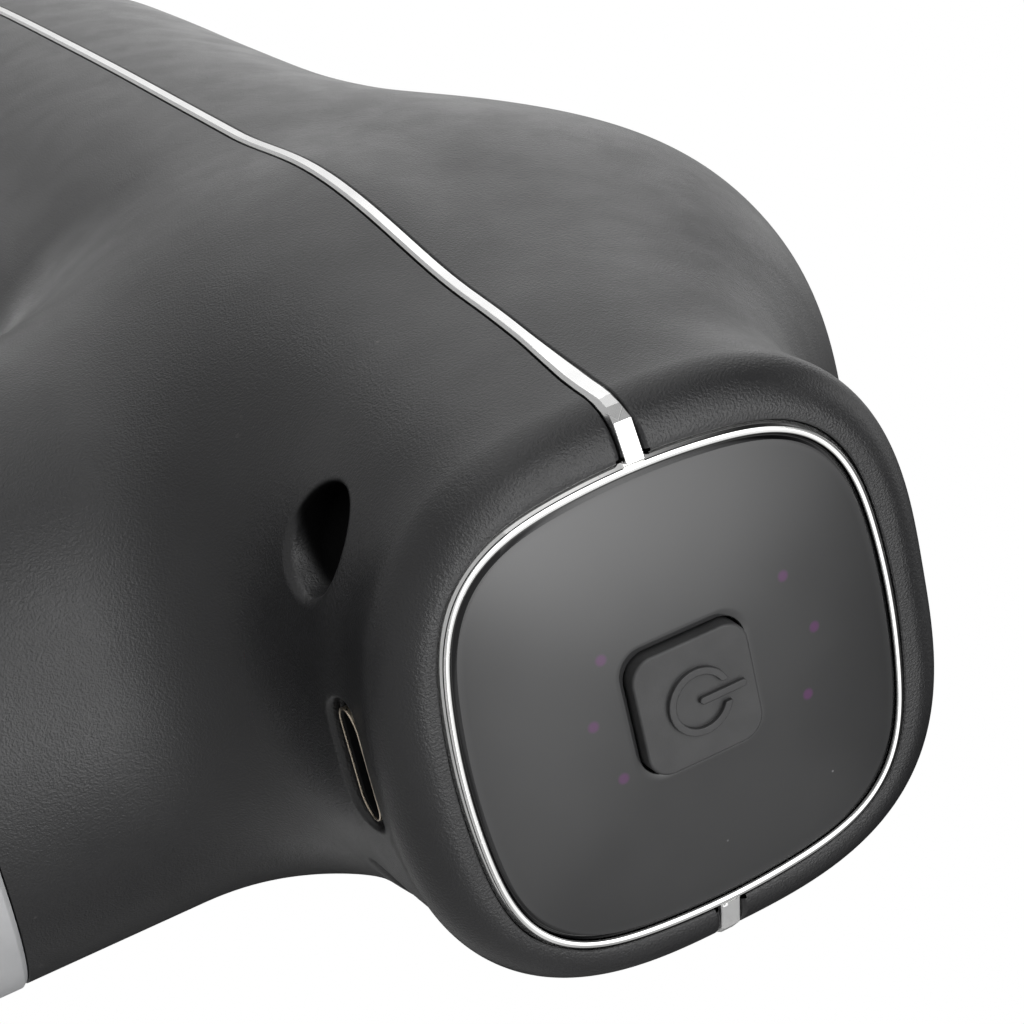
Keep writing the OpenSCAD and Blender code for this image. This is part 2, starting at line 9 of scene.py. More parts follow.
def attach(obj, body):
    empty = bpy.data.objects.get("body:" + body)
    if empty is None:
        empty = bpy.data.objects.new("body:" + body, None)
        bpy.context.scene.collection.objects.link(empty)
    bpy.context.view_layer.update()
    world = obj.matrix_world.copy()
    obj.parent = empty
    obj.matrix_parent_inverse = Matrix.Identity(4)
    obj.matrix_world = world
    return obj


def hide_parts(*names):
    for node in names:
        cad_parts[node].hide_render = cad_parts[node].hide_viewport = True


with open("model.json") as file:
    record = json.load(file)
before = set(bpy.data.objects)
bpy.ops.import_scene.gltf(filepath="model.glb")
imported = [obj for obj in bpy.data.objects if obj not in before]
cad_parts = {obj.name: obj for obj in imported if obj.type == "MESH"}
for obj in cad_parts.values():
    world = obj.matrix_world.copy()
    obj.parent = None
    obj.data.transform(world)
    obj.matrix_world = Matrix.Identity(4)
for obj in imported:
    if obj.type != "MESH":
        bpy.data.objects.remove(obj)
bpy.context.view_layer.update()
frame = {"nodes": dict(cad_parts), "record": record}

MM = 0.001
scene = bpy.context.scene

# ---------------------------------------------------------------- body shape
# Millimetres. x across, y towards the panel, z up from the barrel axis.
# s is the distance forward of the panel plane.
RY = 47.5
AX = 184.0
HR = 24.2
LEN = 152.0
NECK = 44.5
RIM_D, RIM_IN = 4.0, 3.4
BLEND = 11.5

SIDE = [(4, 21.3), (9, 22.2), (17, 23.7), (27, 25), (37, 26.5), (48, 28.2), (55, 28.9), (66, 29.5), (82, 30.3), (100, 31.2), (120, 32), (140, 32.7), (160, 33.1)]
TOP = [(4, 21.85), (9.5, 21.2), (16.5, 24), (24, 29), (33, 35.3), (44, 40.6), (56, 43.3), (67, 42), (80, 36.2), (96, 32.8), (120, 32.4), (140, 32.8), (160, 33.1)]
UNDER = [(4, 21.7), (7.4, 21.1), (10.4, 21.7), (17, 22.1), (24, 22.2), (33, 22.4), (44, 22.9), (56, 25.2), (67, 27.8), (80, 29.9), (96, 31.1), (120, 32), (140, 32.7), (160, 33.1)]
TOP_N = [(0, 2.9), (4, 2.82), (17, 2.6), (37, 2.35), (55, 2.3), (83, 2.06), (110, 2), (160, 2)]
UNDER_N = [(0, 2.7), (4, 2.6), (10, 2.5), (37, 2.3), (55, 2.2), (83, 2.06), (110, 2), (160, 2)]


def curve(table, soft):
    """Smooth function through a table of (s, value), softened over a few millimetres."""
    t = np.array(table, float)
    x, v = t[:, 0], t[:, 1]
    a = np.maximum(np.arange(len(x)) - 1, 0)
    b = np.minimum(np.arange(len(x)) + 1, len(x) - 1)
    m = (v[b] - v[a]) / (x[b] - x[a])
    s = np.arange(-40.0, 220.0, 0.1)
    i = np.clip(np.searchsorted(x, s, side="right") - 1, 0, len(x) - 2)
    h = x[i + 1] - x[i]
    u = np.clip((s - x[i]) / h, 0, 1)
    y = (2*u**3 - 3*u**2 + 1) * v[i] + (u**3 - 2*u**2 + u) * m[i] * h + (3*u**2 - 2*u**3) * v[i + 1] + (u**3 - u**2) * m[i + 1] * h
    k = np.exp(-0.5 * (np.arange(-120, 121) * 0.1 / soft) ** 2)
    y = np.convolve(np.pad(y, 120, mode="edge"), k / k.sum(), mode="valid")
    return lambda q: np.interp(q, s, y)


f_side, f_top, f_under = curve(SIDE, 2.0), curve(TOP, 1.6), curve(UNDER, 1.2)
f_top_n, f_under_n = curve(TOP_N, 2.0), curve(UNDER_N, 2.0)


def round_max(a, b, r):
    return np.minimum(np.maximum(a, b), -r) + np.hypot(np.maximum(a + r, 0), np.maximum(b + r, 0))


def soft_min(a, b, k):
    h = np.maximum(k - np.abs(a - b), 0) / k
    return np.minimum(a, b) - h * h * k / 4


def section(x, z, s):
    up = z >= 0
    h = np.where(up, f_top(s), f_under(s))
    w = f_side(s)
    n = np.where(up, f_top_n(s), f_under_n(s))
    v = ((np.abs(x) / w) ** n + (np.abs(z) / h) ** n) ** (1 / n)
    return (v - 1) * np.hypot(x, z) / np.maximum(v, 1e-4)


def body(x, y, z):
    """Signed distance, roughly, to the outside of the closed casing."""
    s = RY - y
    b = round_max(section(x, z, s), -s * RIM_IN / RIM_D, RIM_IN)
    d = np.hypot(x, y) - HR
    d = np.where(z > 0, np.hypot(np.maximum(d, 0), z) + np.minimum(d, 0), d)
    return soft_min(b, d, BLEND)


# screw wells and the charge port, cut from below
WELLS = [(14.5, RY - 13.4, -11.0, 3.4, 0.6), (22.0, RY - LEN + 12.0, -15.0, 3.7, 0.5)]
PORT_S = 8.9


def oblong(x, y, cx, cy, half, r):
    return np.hypot(np.maximum(np.abs(x - cx) - (half - r), 0), y - cy) - r


def casing(x, y, z):
    f = body(x, y, z)
    ax = np.abs(x)
    for cx, cy, top, r, soft in WELLS:
        f = round_max(f, -np.maximum(np.hypot(ax - cx, y - cy) - r, z - top), soft)
    py = RY - PORT_S
    f = round_max(f, -np.maximum(oblong(x, y, 0, py, 5.1, 1.95), z + 20.6), 0.45)
    return np.maximum(f, -np.maximum(oblong(x, y, 0, py, 4.7, 1.8), z + 12))


def grad(f, p, e=0.01):
    g = np.empty_like(p)
    for i in range(3):
        q = p.copy()
        q[:, i] += e
        r = p.copy()
        r[:, i] -= e
        g[:, i] = (f(*q.T) - f(*r.T)) / (2 * e)
    return g


def unit(v):
    return v / np.maximum(np.linalg.norm(v, axis=-1, keepdims=True), 1e-9)


def onto(f, p, steps=6, cap=0.4):
    for _ in range(steps):
        g = grad(f, p)
        d = -f(*p.T)[:, None] * g / np.maximum((g * g).sum(1, keepdims=True), 0.05)
        l = np.linalg.norm(d, axis=1, keepdims=True)
        p = p + d * np.minimum(1, cap / np.maximum(l, 1e-9))
    return p


def nets(f, lo, hi, h):
    """Quads over the zero of f inside a box, one vertex to a cell."""
    ax = [np.arange(a, b + h * 1.001, h) for a, b in zip(lo, hi)]
    n = [len(a) for a in ax]
    val = np.empty(n, np.float32)
    yy, zz = np.meshgrid(ax[1], ax[2], indexing="ij")
    for i, x in enumerate(ax[0]):
        val[i] = f(np.full_like(yy, x), yy, zz)
    neg = val < 0
    c = [k - 1 for k in n]
    mixed = np.zeros(c, np.int8)
    for dx in (0, 1):
        for dy in (0, 1):
            for dz in (0, 1):
                mixed += neg[dx:dx + c[0], dy:dy + c[1], dz:dz + c[2]]
    cells = np.argwhere((mixed > 0) & (mixed < 8))
    ident = -np.ones(c, np.int64)
    ident[tuple(cells.T)] = np.arange(len(cells))
    acc = np.zeros((len(cells), 3))
    num = np.zeros(len(cells))
    for a in range(3):
        b, d = [k for k in range(3) if k != a]
        for ob in (0, 1):
            for od in (0, 1):
                o = np.zeros(3, int)
                o[b], o[d] = ob, od
                p = cells + o
                q = p.copy()
                q[:, a] += 1
                v0, v1 = val[tuple(p.T)], val[tuple(q.T)]
                hit = (v0 < 0) != (v1 < 0)
                t = np.where(hit, v0 / np.where(hit, v0 - v1, 1), 0)
                pos = p.astype(float)
                pos[:, a] += t
                acc[hit] += pos[hit]
                num += hit
    verts = acc / num[:, None] * h + np.array([a[0] for a in ax])
    quads = []
    for a in range(3):
        b, d = (a + 1) % 3, (a + 2) % 3
        sl0 = [slice(None)] * 3
        sl1 = [slice(None)] * 3
        sl0[a], sl1[a] = slice(0, n[a] - 1), slice(1, n[a])
        change = neg[tuple(sl0)] != neg[tuple(sl1)]
        e = np.argwhere(change)
        e = e[(e[:, b] > 0) & (e[:, d] > 0) & (e[:, b] < n[b] - 1) & (e[:, d] < n[d] - 1)]
        ring = []
        for ob, od in ((0, 0), (-1, 0), (-1, -1), (0, -1)):
            q = e.copy()
            q[:, b] += ob
            q[:, d] += od
            ring.append(ident[tuple(q.T)])
        q = np.stack(ring, 1)
        flip = ~neg[tuple(e.T)]
        q[flip] = q[flip][:, ::-1]
        quads.append(q)
    return verts, np.concatenate(quads)


def trimmed(verts, quads, planes):
    """Keeps what is behind each plane (point, outward normal)."""
    bm = bmesh.new()
    vs = [bm.verts.new(v) for v in verts]
    for q in quads:
        bm.faces.new([vs[i] for i in q])
    for co, no in planes:
        bmesh.ops.bisect_plane(bm, geom=bm.verts[:] + bm.edges[:] + bm.faces[:], dist=1e-5, plane_co=co, plane_no=no, clear_outer=True)
    for v in [v for v in bm.verts if not v.link_faces]:
        bm.verts.remove(v)
    bm.verts.index_update()
    p = np.array([v.co[:] for v in bm.verts])
    f = [[v.index for v in q.verts] for q in bm.faces]
    bm.free()
    return p, f


class Skin:
    """Patches gathered into one mesh, each with its own normals."""

    def __init__(self):
        self.p, self.n, self.f, self.m, self.count = [], [], [], [], 0

    def add(self, p, n, faces, mat=0):
        self.p.append(p)
        self.n.append(n)
        self.f += [[i + self.count for i in q] for q in faces]
        self.m += [mat] * len(faces)
        self.count += len(p)

    def grid(self, g, normal=None, mat=0, flip=False, close=False):
        """g[i, j] is a grid of points; normals from the grid where normal is None or nan."""
        a, b = g.shape[:2]
        if close:
            gj = (np.roll(g, -1, 1) - np.roll(g, 1, 1))
        else:
            gj = np.gradient(g, axis=1)
        nn = np.cross(np.gradient(g, axis=0), gj)
        nn = unit(nn) * (-1 if flip else 1)
        if normal is not None:
            ok = ~np.isnan(normal[..., 0])
            nn[ok] = normal[ok]
        k = np.arange(a * b).reshape(a, b)
        if close:
            k = np.concatenate([k, k[:, :1]], 1)
        q = np.stack([k[:-1, :-1], k[1:, :-1], k[1:, 1:], k[:-1, 1:]], -1).reshape(-1, 4)
        if flip:
            q = q[:, ::-1]
        self.add(g.reshape(-1, 3), nn.reshape(-1, 3), q.tolist(), mat)

    def net(self, f, lo, hi, h, planes, fn=None, steps=6):
        v, q = nets(f, lo, hi, h)
        v = onto(f, v, steps, h)
        p, faces = trimmed(v, q, planes)
        self.add(p, unit(grad(fn or f, p)), faces)

    def build(self, name, mats):
        p = np.concatenate(self.p)
        n = np.concatenate(self.n)
        me = bpy.data.meshes.new(name)
        q = p * MM
        q[:, 2] += AX * MM
        me.from_pydata(q.tolist(), [], self.f)
        for m in mats:
            me.materials.append(m)
        me.polygons.foreach_set("material_index", self.m)
        me.polygons.foreach_set("use_smooth", [True] * len(me.polygons))
        me.normals_split_custom_set_from_vertices(n.tolist())
        me.update()
        o = bpy.data.objects.new(name, me)
        scene.collection.objects.link(o)
        return o


# ------------------------------------------------------------ shell surfaces
def trim_half(s):
    """Half width of the side trim."""
    return 0.55 + 0.25 * np.clip((13 - s) / 6, 0, 1)


def trim_gap(s):
    return trim_half(s) + 0.1


def edge_round(s):
    return 0.2 + 0.22 * np.exp(-(s / 1.2) ** 2)


def radius(s, a):
    """Distance from the barrel axis to the casing at station s and angle a."""
    ca, sa = np.cos(a), np.sin(a)
    up = sa >= 0
    h = np.where(up, f_top(s), f_under(s))
    n = np.where(up, f_top_n(s), f_under_n(s))
    r = 1 / ((np.abs(ca) / f_side(s)) ** n + (np.abs(sa) / h) ** n) ** (1 / n)
    k = np.clip(s, 0, RIM_D)
    lip = RIM_IN - np.sqrt(np.maximum(RIM_IN**2 - (RIM_IN * (1 - k / RIM_D)) ** 2, 0))
    r = r - np.where(s < RIM_D, lip, 0)
    # swell of the handle's blend, eased out over the lip
    at = np.maximum(s, 5.0)
    h = np.where(up, f_top(at), f_under(at))
    n = np.where(up, f_top_n(at), f_under_n(at))
    q0 = 1 / ((np.abs(ca) / f_side(at)) ** n + (np.abs(sa) / h) ** n) ** (1 / n)
    q = q0
    for _ in range(12):
        f0 = body(q * ca, RY - at, q * sa)
        f1 = body((q + 0.02) * ca, RY - at, (q + 0.02) * sa)
        step = -f0 * 0.02 / np.where(np.abs(f1 - f0) < 1e-6, 1e-6, f1 - f0)
        q = q + np.clip(step, -2, 2)
    t = np.clip(s / 5.0, 0, 1)
    return r + (q - q0) * t * t * (3 - 2 * t) * (0.35 + 0.65 * t)


def at_height(s, z, side):
    """Point on the casing at station s and height z, on one side."""
    a = np.arcsin(np.clip(z / 24, -1, 1))
    for _ in range(8):
        r = radius(s, a)
        a = np.arcsin(np.clip(z / r, -1, 1))
    r = radius(s, a)
    return a, np.stack([side * r * np.cos(a), RY - s, r * np.sin(a)], -1)


def body_normal(p):
    return unit(grad(body, p.reshape(-1, 3))).reshape(p.shape)


def seam(s, sign, side):
    """Columns from the wall of the side groove out over its rounded edge. sign +1 is the upper shell."""
    e = trim_gap(s)
    rf = edge_round(s)
    cols = []
    for t in (90, 75, 60, 45, 30, 15, 0):
        t = math.radians(t)
        _, p = at_height(s, sign * (e + rf * (1 - math.sin(t))), side)
        n = body_normal(p)
        cols.append(p - n * (rf * (1 - math.cos(t)))[:, None])
        if t > 1.5:
            for depth in (0.6, 2.2):
                w = p - n * (rf + depth)[:, None]
                w[:, 2] = sign * e
                cols.insert(0, w)
    return np.stack(cols, 1)


def stations(a, b, step):
    k = max(1, int(math.ceil((b - a) / step)))
    return np.linspace(a, b, k + 1)


def shell_grid(skin, s, sign, a_end=None, step=0.016):
    """Barrel surface of one shell over stations s. It runs from the groove on the +X side over to the
    groove on the -X side, or, with a_end, from each groove down to that angle."""
    sides = [1, -1] if a_end is not None else [1]
    for side in sides:
        left = seam(s, sign, side)
        e = trim_gap(s) + edge_round(s)
        a0, _ = at_height(s, sign * e, 1)
        if a_end is None:
            k = int(math.pi / step)
            t = np.linspace(0, 1, k + 1)[None, :]
            a = a0[:, None] * (1 - t) + (sign * math.pi - a0[:, None]) * t
        else:
            k = int(abs(a_end) / step)
            t = np.linspace(0, 1, k + 1)[None, :]
            a = a0[:, None] * (1 - t) + a_end * t
        ss = np.repeat(s[:, None], k + 1, 1)
        r = radius(ss, a)
        mid = np.stack([side * r * np.cos(a), RY - ss, r * np.sin(a)], -1)
        parts = [left, mid[:, 1:]]
        nn = [np.full(left.shape, np.nan), body_normal(mid[:, 1:])]
        nn[0][:, -1] = body_normal(left[:, -1])
        if a_end is None:
            right = seam(s, sign, -1)[:, ::-1]
            parts[1] = parts[1][:, :-1]
            nn[1] = nn[1][:, :-1]
            parts.append(right)
            m = np.full(right.shape, np.nan)
            m[:, 0] = body_normal(right[:, 0])
            nn.append(m)
        g = np.concatenate(parts, 1)
        nn = np.concatenate(nn, 1)
        skin.grid(g, nn, flip=(sign * side > 0))


def squircle(half, n=3.03, k=240):
    a = np.arange(k) * 2 * math.pi / k
    c, s = np.cos(a), np.sin(a)
    return np.stack([half * np.sign(c) * np.abs(c) ** (2 / n), half * np.sign(s) * np.abs(s) ** (2 / n)], -1)


def rim_stations():
    t = np.radians(np.linspace(90, 0, 30))
    return np.concatenate([RIM_D - RIM_D * np.sin(t), [4.5, 5.0]])


def frame_radius(a):
    """Middle of the bright frame's face, measured from the barrel axis at angle a."""
    return 17.07 / ((np.abs(np.cos(a))) ** 3.03 + np.abs(np.sin(a)) ** 3.03) ** (1 / 3.03) - 0.1 * np.cos(4 * a) + 0.1 * np.cos(8 * a)


def frame_line(off=0.0, k=1440):
    """The frame's outline moved outward by off."""
    a = np.arange(k) * 2 * math.pi / k
    r = frame_radius(a)
    p = np.stack([r * np.cos(a), r * np.sin(a)], -1)
    t = unit(np.roll(p, -1, 0) - np.roll(p, 1, 0))
    return p + off * np.stack([t[:, 1], -t[:, 0]], -1)


POCKET = 0.6


def pocket_wall(skin, sign):
    """From the lip at s = 0 in to the panel's pocket and down its wall."""
    s0 = np.array([0.0])
    cols = []
    e = float(trim_gap(s0)[0] + edge_round(s0)[0])
    a0, _ = at_height(s0, np.array([sign * e]), 1)
    t = np.linspace(0, 1, 161)
    a = a0 * (1 - t) + (sign * math.pi - a0) * t
    r = radius(np.zeros_like(a), a)
    q = np.minimum(frame_radius(a) + POCKET, r - 0.14)
    d = np.stack([np.cos(a), np.sin(a)], -1)
    rows = [(r, 0.0), (q + 0.12, 0.0), (q + 0.06, 0.02), (q + 0.02, 0.06), (q, 0.12), (q, 1.2), (q, 3.6)]
    g = np.stack([np.stack([k * d[:, 0], np.full_like(k, RY - s), k * d[:, 1]], -1) for k, s in rows], 0)
    skin.grid(g, None, flip=(sign < 0))


def inner_shell(skin, sign, thick=2.3):
    """Inside face of the shell."""
    s = stations(6.0, LEN, 2.4)
    a = np.linspace(0.0, sign * math.pi, 61)
    ss, aa = np.meshgrid(s, a, indexing="ij")
    lo = np.full(aa.shape, 5.0)
    hi = np.full(aa.shape, 60.0)
    for _ in range(22):
        m = (lo + hi) / 2
        f = section(m * np.cos(aa), m * np.sin(aa), ss) + thick
        lo, hi = np.where(f < 0, m, lo), np.where(f < 0, hi, m)
    g = np.stack([lo * np.cos(aa), RY - ss, lo * np.sin(aa)], -1)
    skin.grid(g, None, flip=(sign < 0))


def build_upper(mats):
    k = Skin()
    shell_grid(k, rim_stations(), 1)
    shell_grid(k, stations(5, 90, 0.7), 1)
    shell_grid(k, stations(90, LEN, 1.2), 1, step=0.02)
    pocket_wall(k, 1)
    inner_shell(k, 1)
    return k.build("shell_upper_skin", mats)


A_END = -0.42


def build_lower(mats):
    k = Skin()
    shell_grid(k, rim_stations(), -1)
    shell_grid(k, stations(5, 92, 0.7), -1, a_end=A_END)
    shell_grid(k, stations(92, 133, 1.0), -1)
    shell_grid(k, stations(133, 149, 1.0), -1, a_end=A_END)
    shell_grid(k, np.array([149, 150.5, LEN]), -1)
    pocket_wall(k, -1)
    ca, sa = math.cos(A_END), math.sin(A_END)
    wedge = [((0, 0, 0), (-sa, 0, ca)), ((0, 0, 0), (sa, 0, ca))]

    def band(s0, s1):
        return [((0, RY - s0, 0), (0, 1, 0)), ((0, RY - s1, 0), (0, -1, 0))]

    k.net(casing, (-26, RY - 21, -30), (26, RY - 4, -6), 0.22, wedge + band(5, 20), steps=8)
    k.net(body, (-36, RY - 93, -46), (36, RY - 19, -8), 0.75, wedge + band(20, 92) + [((0, 0, -NECK), (0, 0, -1))])
    k.net(casing, (-36, RY - 150, -36), (36, RY - 132, -8), 0.4, wedge + band(133, 149), steps=8)
    # turned-in edge at the neck's end
    a = np.linspace(0, 2 * math.pi, 240, endpoint=False)
    g = np.stack([np.stack([r * np.cos(a), r * np.sin(a), np.full_like(a, z)], -1) for r, z in
                  ((HR, -NECK), (HR - 0.3, -NECK - 0.02), (HR - 2.3, -NECK - 0.02), (HR - 2.3, -NECK + 12))], 0)
    k.grid(g, None, close=True)
    inner_shell(k, -1)
    return k.build("shell_lower_skin", mats)


# ------------------------------------------------------------- other geometry
def eased(pts, n=6, closed=True):
    """Polyline through corners (u, v, r), each rounded to radius r."""
    out = []
    k = len(pts)
    for i, (u, v, r) in enumerate(pts):
        p = np.array([u, v], float)
        if r <= 0 or (not closed and i in (0, k - 1)):
            out.append(p)
            continue
        a = np.array(pts[i - 1][:2], float) - p
        b = np.array(pts[(i + 1) % k][:2], float) - p
        la, lb = np.linalg.norm(a), np.linalg.norm(b)
        a, b = a / la, b / lb
        half = math.acos(max(-1.0, min(1.0, float(a @ b)))) / 2
        if half > 1.55:
            out.append(p)
            continue
        t = min(r / math.tan(half), 0.48 * la, 0.48 * lb)
        q = t * math.tan(half)
        c = p + (a + b) / np.linalg.norm(a + b) * (q / math.sin(half))
        s, e = p + a * t - c, p + b * t - c
        a0, a1 = math.atan2(s[1], s[0]), math.atan2(e[1], e[0])
        d = (a1 - a0 + math.pi) % (2 * math.pi) - math.pi
        for j in range(n + 1):
            w = a0 + d * j / n
            out.append(c + q * np.array([math.cos(w), math.sin(w)]))
    return np.array(out)


def refined(path, step, closed=True):
    """Adds points along the long straights of a polyline."""
    out = []
    k = len(path)
    for i in range(k if closed else k - 1):
        a, b = path[i], path[(i + 1) % k]
        m = max(1, int(np.linalg.norm(b - a) / step))
        out += [a + (b - a) * j / m for j in range(m)]
    if not closed:
        out.append(path[-1])
    return np.array(out)


class Piece:
    """Grids of points gathered into one mesh, faces turned outwards."""

    def __init__(self):
        self.v, self.f, self.m, self.k = [], [], [], 0

    def grid(self, g, close_u=False, close_v=False, mat=0):
        a, b = g.shape[:2]
        k = np.arange(a * b).reshape(a, b) + self.k
        if close_u:
            k = np.concatenate([k, k[:1]], 0)
        if close_v:
            k = np.concatenate([k, k[:, :1]], 1)
        q = np.stack([k[:-1, :-1], k[1:, :-1], k[1:, 1:], k[:-1, 1:]], -1).reshape(-1, 4)
        self.v.append(g.reshape(-1, 3))
        self.f += q.tolist()
        self.m += [mat] * len(q)
        self.k += a * b

    def faces(self, p, f, mat=0):
        self.v.append(np.asarray(p, float))
        self.f += [[i + self.k for i in q] for q in f]
        self.m += [mat] * len(f)
        self.k += len(p)

    def make(self, name, mats, body_name, nodes=(), angle=38.0, weld=2e-6, outward=True):
        p = np.concatenate(self.v) * MM
        p[:, 2] += AX * MM
        me = bpy.data.meshes.new(name)
        me.from_pydata(p.tolist(), [], self.f)
        for m in mats:
            me.materials.append(m)
        me.polygons.foreach_set("material_index", self.m)
        bm = bmesh.new()
        bm.from_mesh(me)
        bmesh.ops.remove_doubles(bm, verts=bm.verts, dist=weld)
        bmesh.ops.dissolve_degenerate(bm, edges=bm.edges, dist=1e-7)
        if outward:
            bmesh.ops.recalc_face_normals(bm, faces=bm.faces)
        bm.to_mesh(me)
        bm.free()
        me.polygons.foreach_set("use_smooth", [True] * len(me.polygons))
        me.set_sharp_from_angle(angle=math.radians(angle))
        me.update()
        o = bpy.data.objects.new(name, me)
        scene.collection.objects.link(o)
        if nodes:
            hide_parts(*nodes)
        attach(o, body_name)
        return o


def revolve(path, where, seg=192):
    """Grid of a profile [(radius, height)] turned round an axis. where is "handle", heights above the
    foot, or a y to start from, heights forward of it."""
    a = np.arange(seg) * 2 * math.pi / seg
    r, h = path[:, 0][:, None], path[:, 1][:, None]
    c, s = np.cos(a)[None], np.sin(a)[None]
    if isinstance(where, str):
        return np.stack([r * c, r * s, np.broadcast_to(h - AX, (len(path), seg))], -1)
    return np.stack([r * c, np.broadcast_to(where - h, (len(path), seg)), r * s], -1)


def ringed(outline, path):
    """Grid of a profile [(distance inward, s)] carried round an outline in the panel plane."""
    t = unit(np.roll(outline, -1, 0) - np.roll(outline, 1, 0))
    inward = np.stack([-t[:, 1], t[:, 0]], -1)
    return np.stack([np.stack([outline[:, 0] + inward[:, 0] * d, np.full(len(outline), RY - s), outline[:, 1] + inward[:, 1] * d], -1) for d, s in path], 0)


def even(outline, k):
    """An outline respaced to k even steps."""
    q = np.concatenate([outline, outline[:1]])
    l = np.concatenate([[0], np.cumsum(np.linalg.norm(np.diff(q, axis=0), axis=1))])
    t = np.arange(k) * l[-1] / k
    return np.stack([np.interp(t, l, q[:, 0]), np.interp(t, l, q[:, 1])], -1)


def rounded_square(half, r, k):
    """Points of a rounded square, one for each angle of k even ones."""
    a = np.arange(k) * 2 * math.pi / k
    c, s = np.cos(a), np.sin(a)
    lo, hi = np.zeros(k), np.full(k, half * 1.5)
    for _ in range(40):
        m = (lo + hi) / 2
        qx, qz = np.abs(m * c) - (half - r), np.abs(m * s) - (half - r)
        d = np.hypot(np.maximum(qx, 0), np.maximum(qz, 0)) + np.minimum(np.maximum(qx, qz), 0) - r
        lo, hi = np.where(d < 0, m, lo), np.where(d < 0, hi, m)
    return np.stack([lo * c, lo * s], -1)


# ---------------------------------------------------------------------- trims
def trim_strip(side, mats):
    """Bright strip in the joint of the shells: a flat top between two bevels, folded where it meets the rim."""
    far = np.concatenate([stations(12, LEN - 1.0, 1.5)[::-1], stations(6.2, 12, 0.8)[::-1][1:]])
    near = [np.array([6.2, 5.0, 3.8, 2.6]), np.array([2.6, 1.7]), np.array([1.7, 0.8])]
    k = Piece()

    def profile(p, n, hw, proud, top):
        cols = []
        for d, z in ((-1.3, 1.0), (-0.06, 1.0), (0.02, 0.985), (0.93, 0.66), (1.0, 0.6), (1.0, 0.2), (1.0, -0.2), (1.0, -0.6), (0.93, -0.66), (0.02, -0.985), (-0.06, -1.0), (-1.3, -1.0)):
            off = np.where(d > 0, d * proud, d)
            q = p + n * off[:, None]
            q[:, 2] += z * hw * (1.0 if abs(z) > 0.9 else top / 0.6)
            cols.append(q)
        return np.stack(cols, 1)

    def place(s):
        s = np.asarray(s, float)
        _, p = at_height(s, np.zeros_like(s), side)
        n = body_normal(p)
        n[:, 2] = 0
        n = unit(n)
        rise = 0.22 + 0.22 * np.exp(-((s - 1.3) / 1.5) ** 2) if side > 0 else 0.22 - 0.14 * np.exp(-(s / 2.0) ** 2)
        return profile(p, n, trim_half(s), rise, 0.6 - 0.03 * np.clip((7 - s) / 4, 0, 1) + 0.22 * np.clip((1.75 - s) / 0.5, 0, 1))

    rows = [place(far)] + [place(s) for s in near]
    # last run: flat across the lip up to the bright frame
    stop = profile(np.array([[side * (frame_radius(0.0) + 0.42), RY, 0.0]]), np.array([[0.0, 1.0, 0.0]]), np.array([0.8]), np.array([0.24 if side > 0 else 0.08]), 0.8)
    rows.append(np.stack([rows[-1][-1], stop[0]], 0))
    # the last runs are twisted strips, so they are cut finely to shade evenly
    for i in (-3, -2, -1):
        rows[i] = np.stack([rows[i][0] * (1 - t) + rows[i][1] * t for t in np.linspace(0, 1, 9)], 0)
    for g in rows:
        k.grid(g)
    a, b = rows[0][0], rows[-1][-1]
    for end in (a, b):
        k.faces(end, [list(range(len(end)))])
    o = k.make("trim_strip_" + ("left" if side > 0 else "right"), mats, "housing", ("side_trim_left" if side > 0 else "side_trim_right",), angle=12.0, weld=1e-9)
    return o


# ---------------------------------------------------------------------- panel
BTN = 4.6
BTN_TOP = -2.02
LENS_S = -0.22
CROWN = 0.95
LEDS = [(5.34, -5.93), (0.87, -7.53), (-3.77, -6.26), (5.52, 8.63), (0.78, 10.32), (-3.94, 8.79)]


def bezel_piece(mats):
    out = even(frame_line(0.35), 360)
    path = eased([(-0.17, 3.5, 0.1), (-0.17, 0.24, 0.05), (0.11, -0.09, 0.03), (0.13, -0.25, 0.06), (0.34, -0.29, 0.3), (0.62, -0.26, 0.12), (0.66, 2.2, 0.05), (1.5, 2.2, 0.05), (1.5, 3.5, 0.1)], 7)
    k = Piece()
    k.grid(ringed(out, path), close_u=True, close_v=True)
    return k.make("bezel_ring", mats, "housing", ("rear_bezel",))


def crown(p):
    """How far the window's face stands out over its edge at points p."""
    a = np.arctan2(p[..., 2], p[..., 0])
    rho = np.hypot(p[..., 0], p[..., 2]) / (frame_radius(a) - 0.73)
    return CROWN * np.clip(1 - rho * rho, 0, 1)


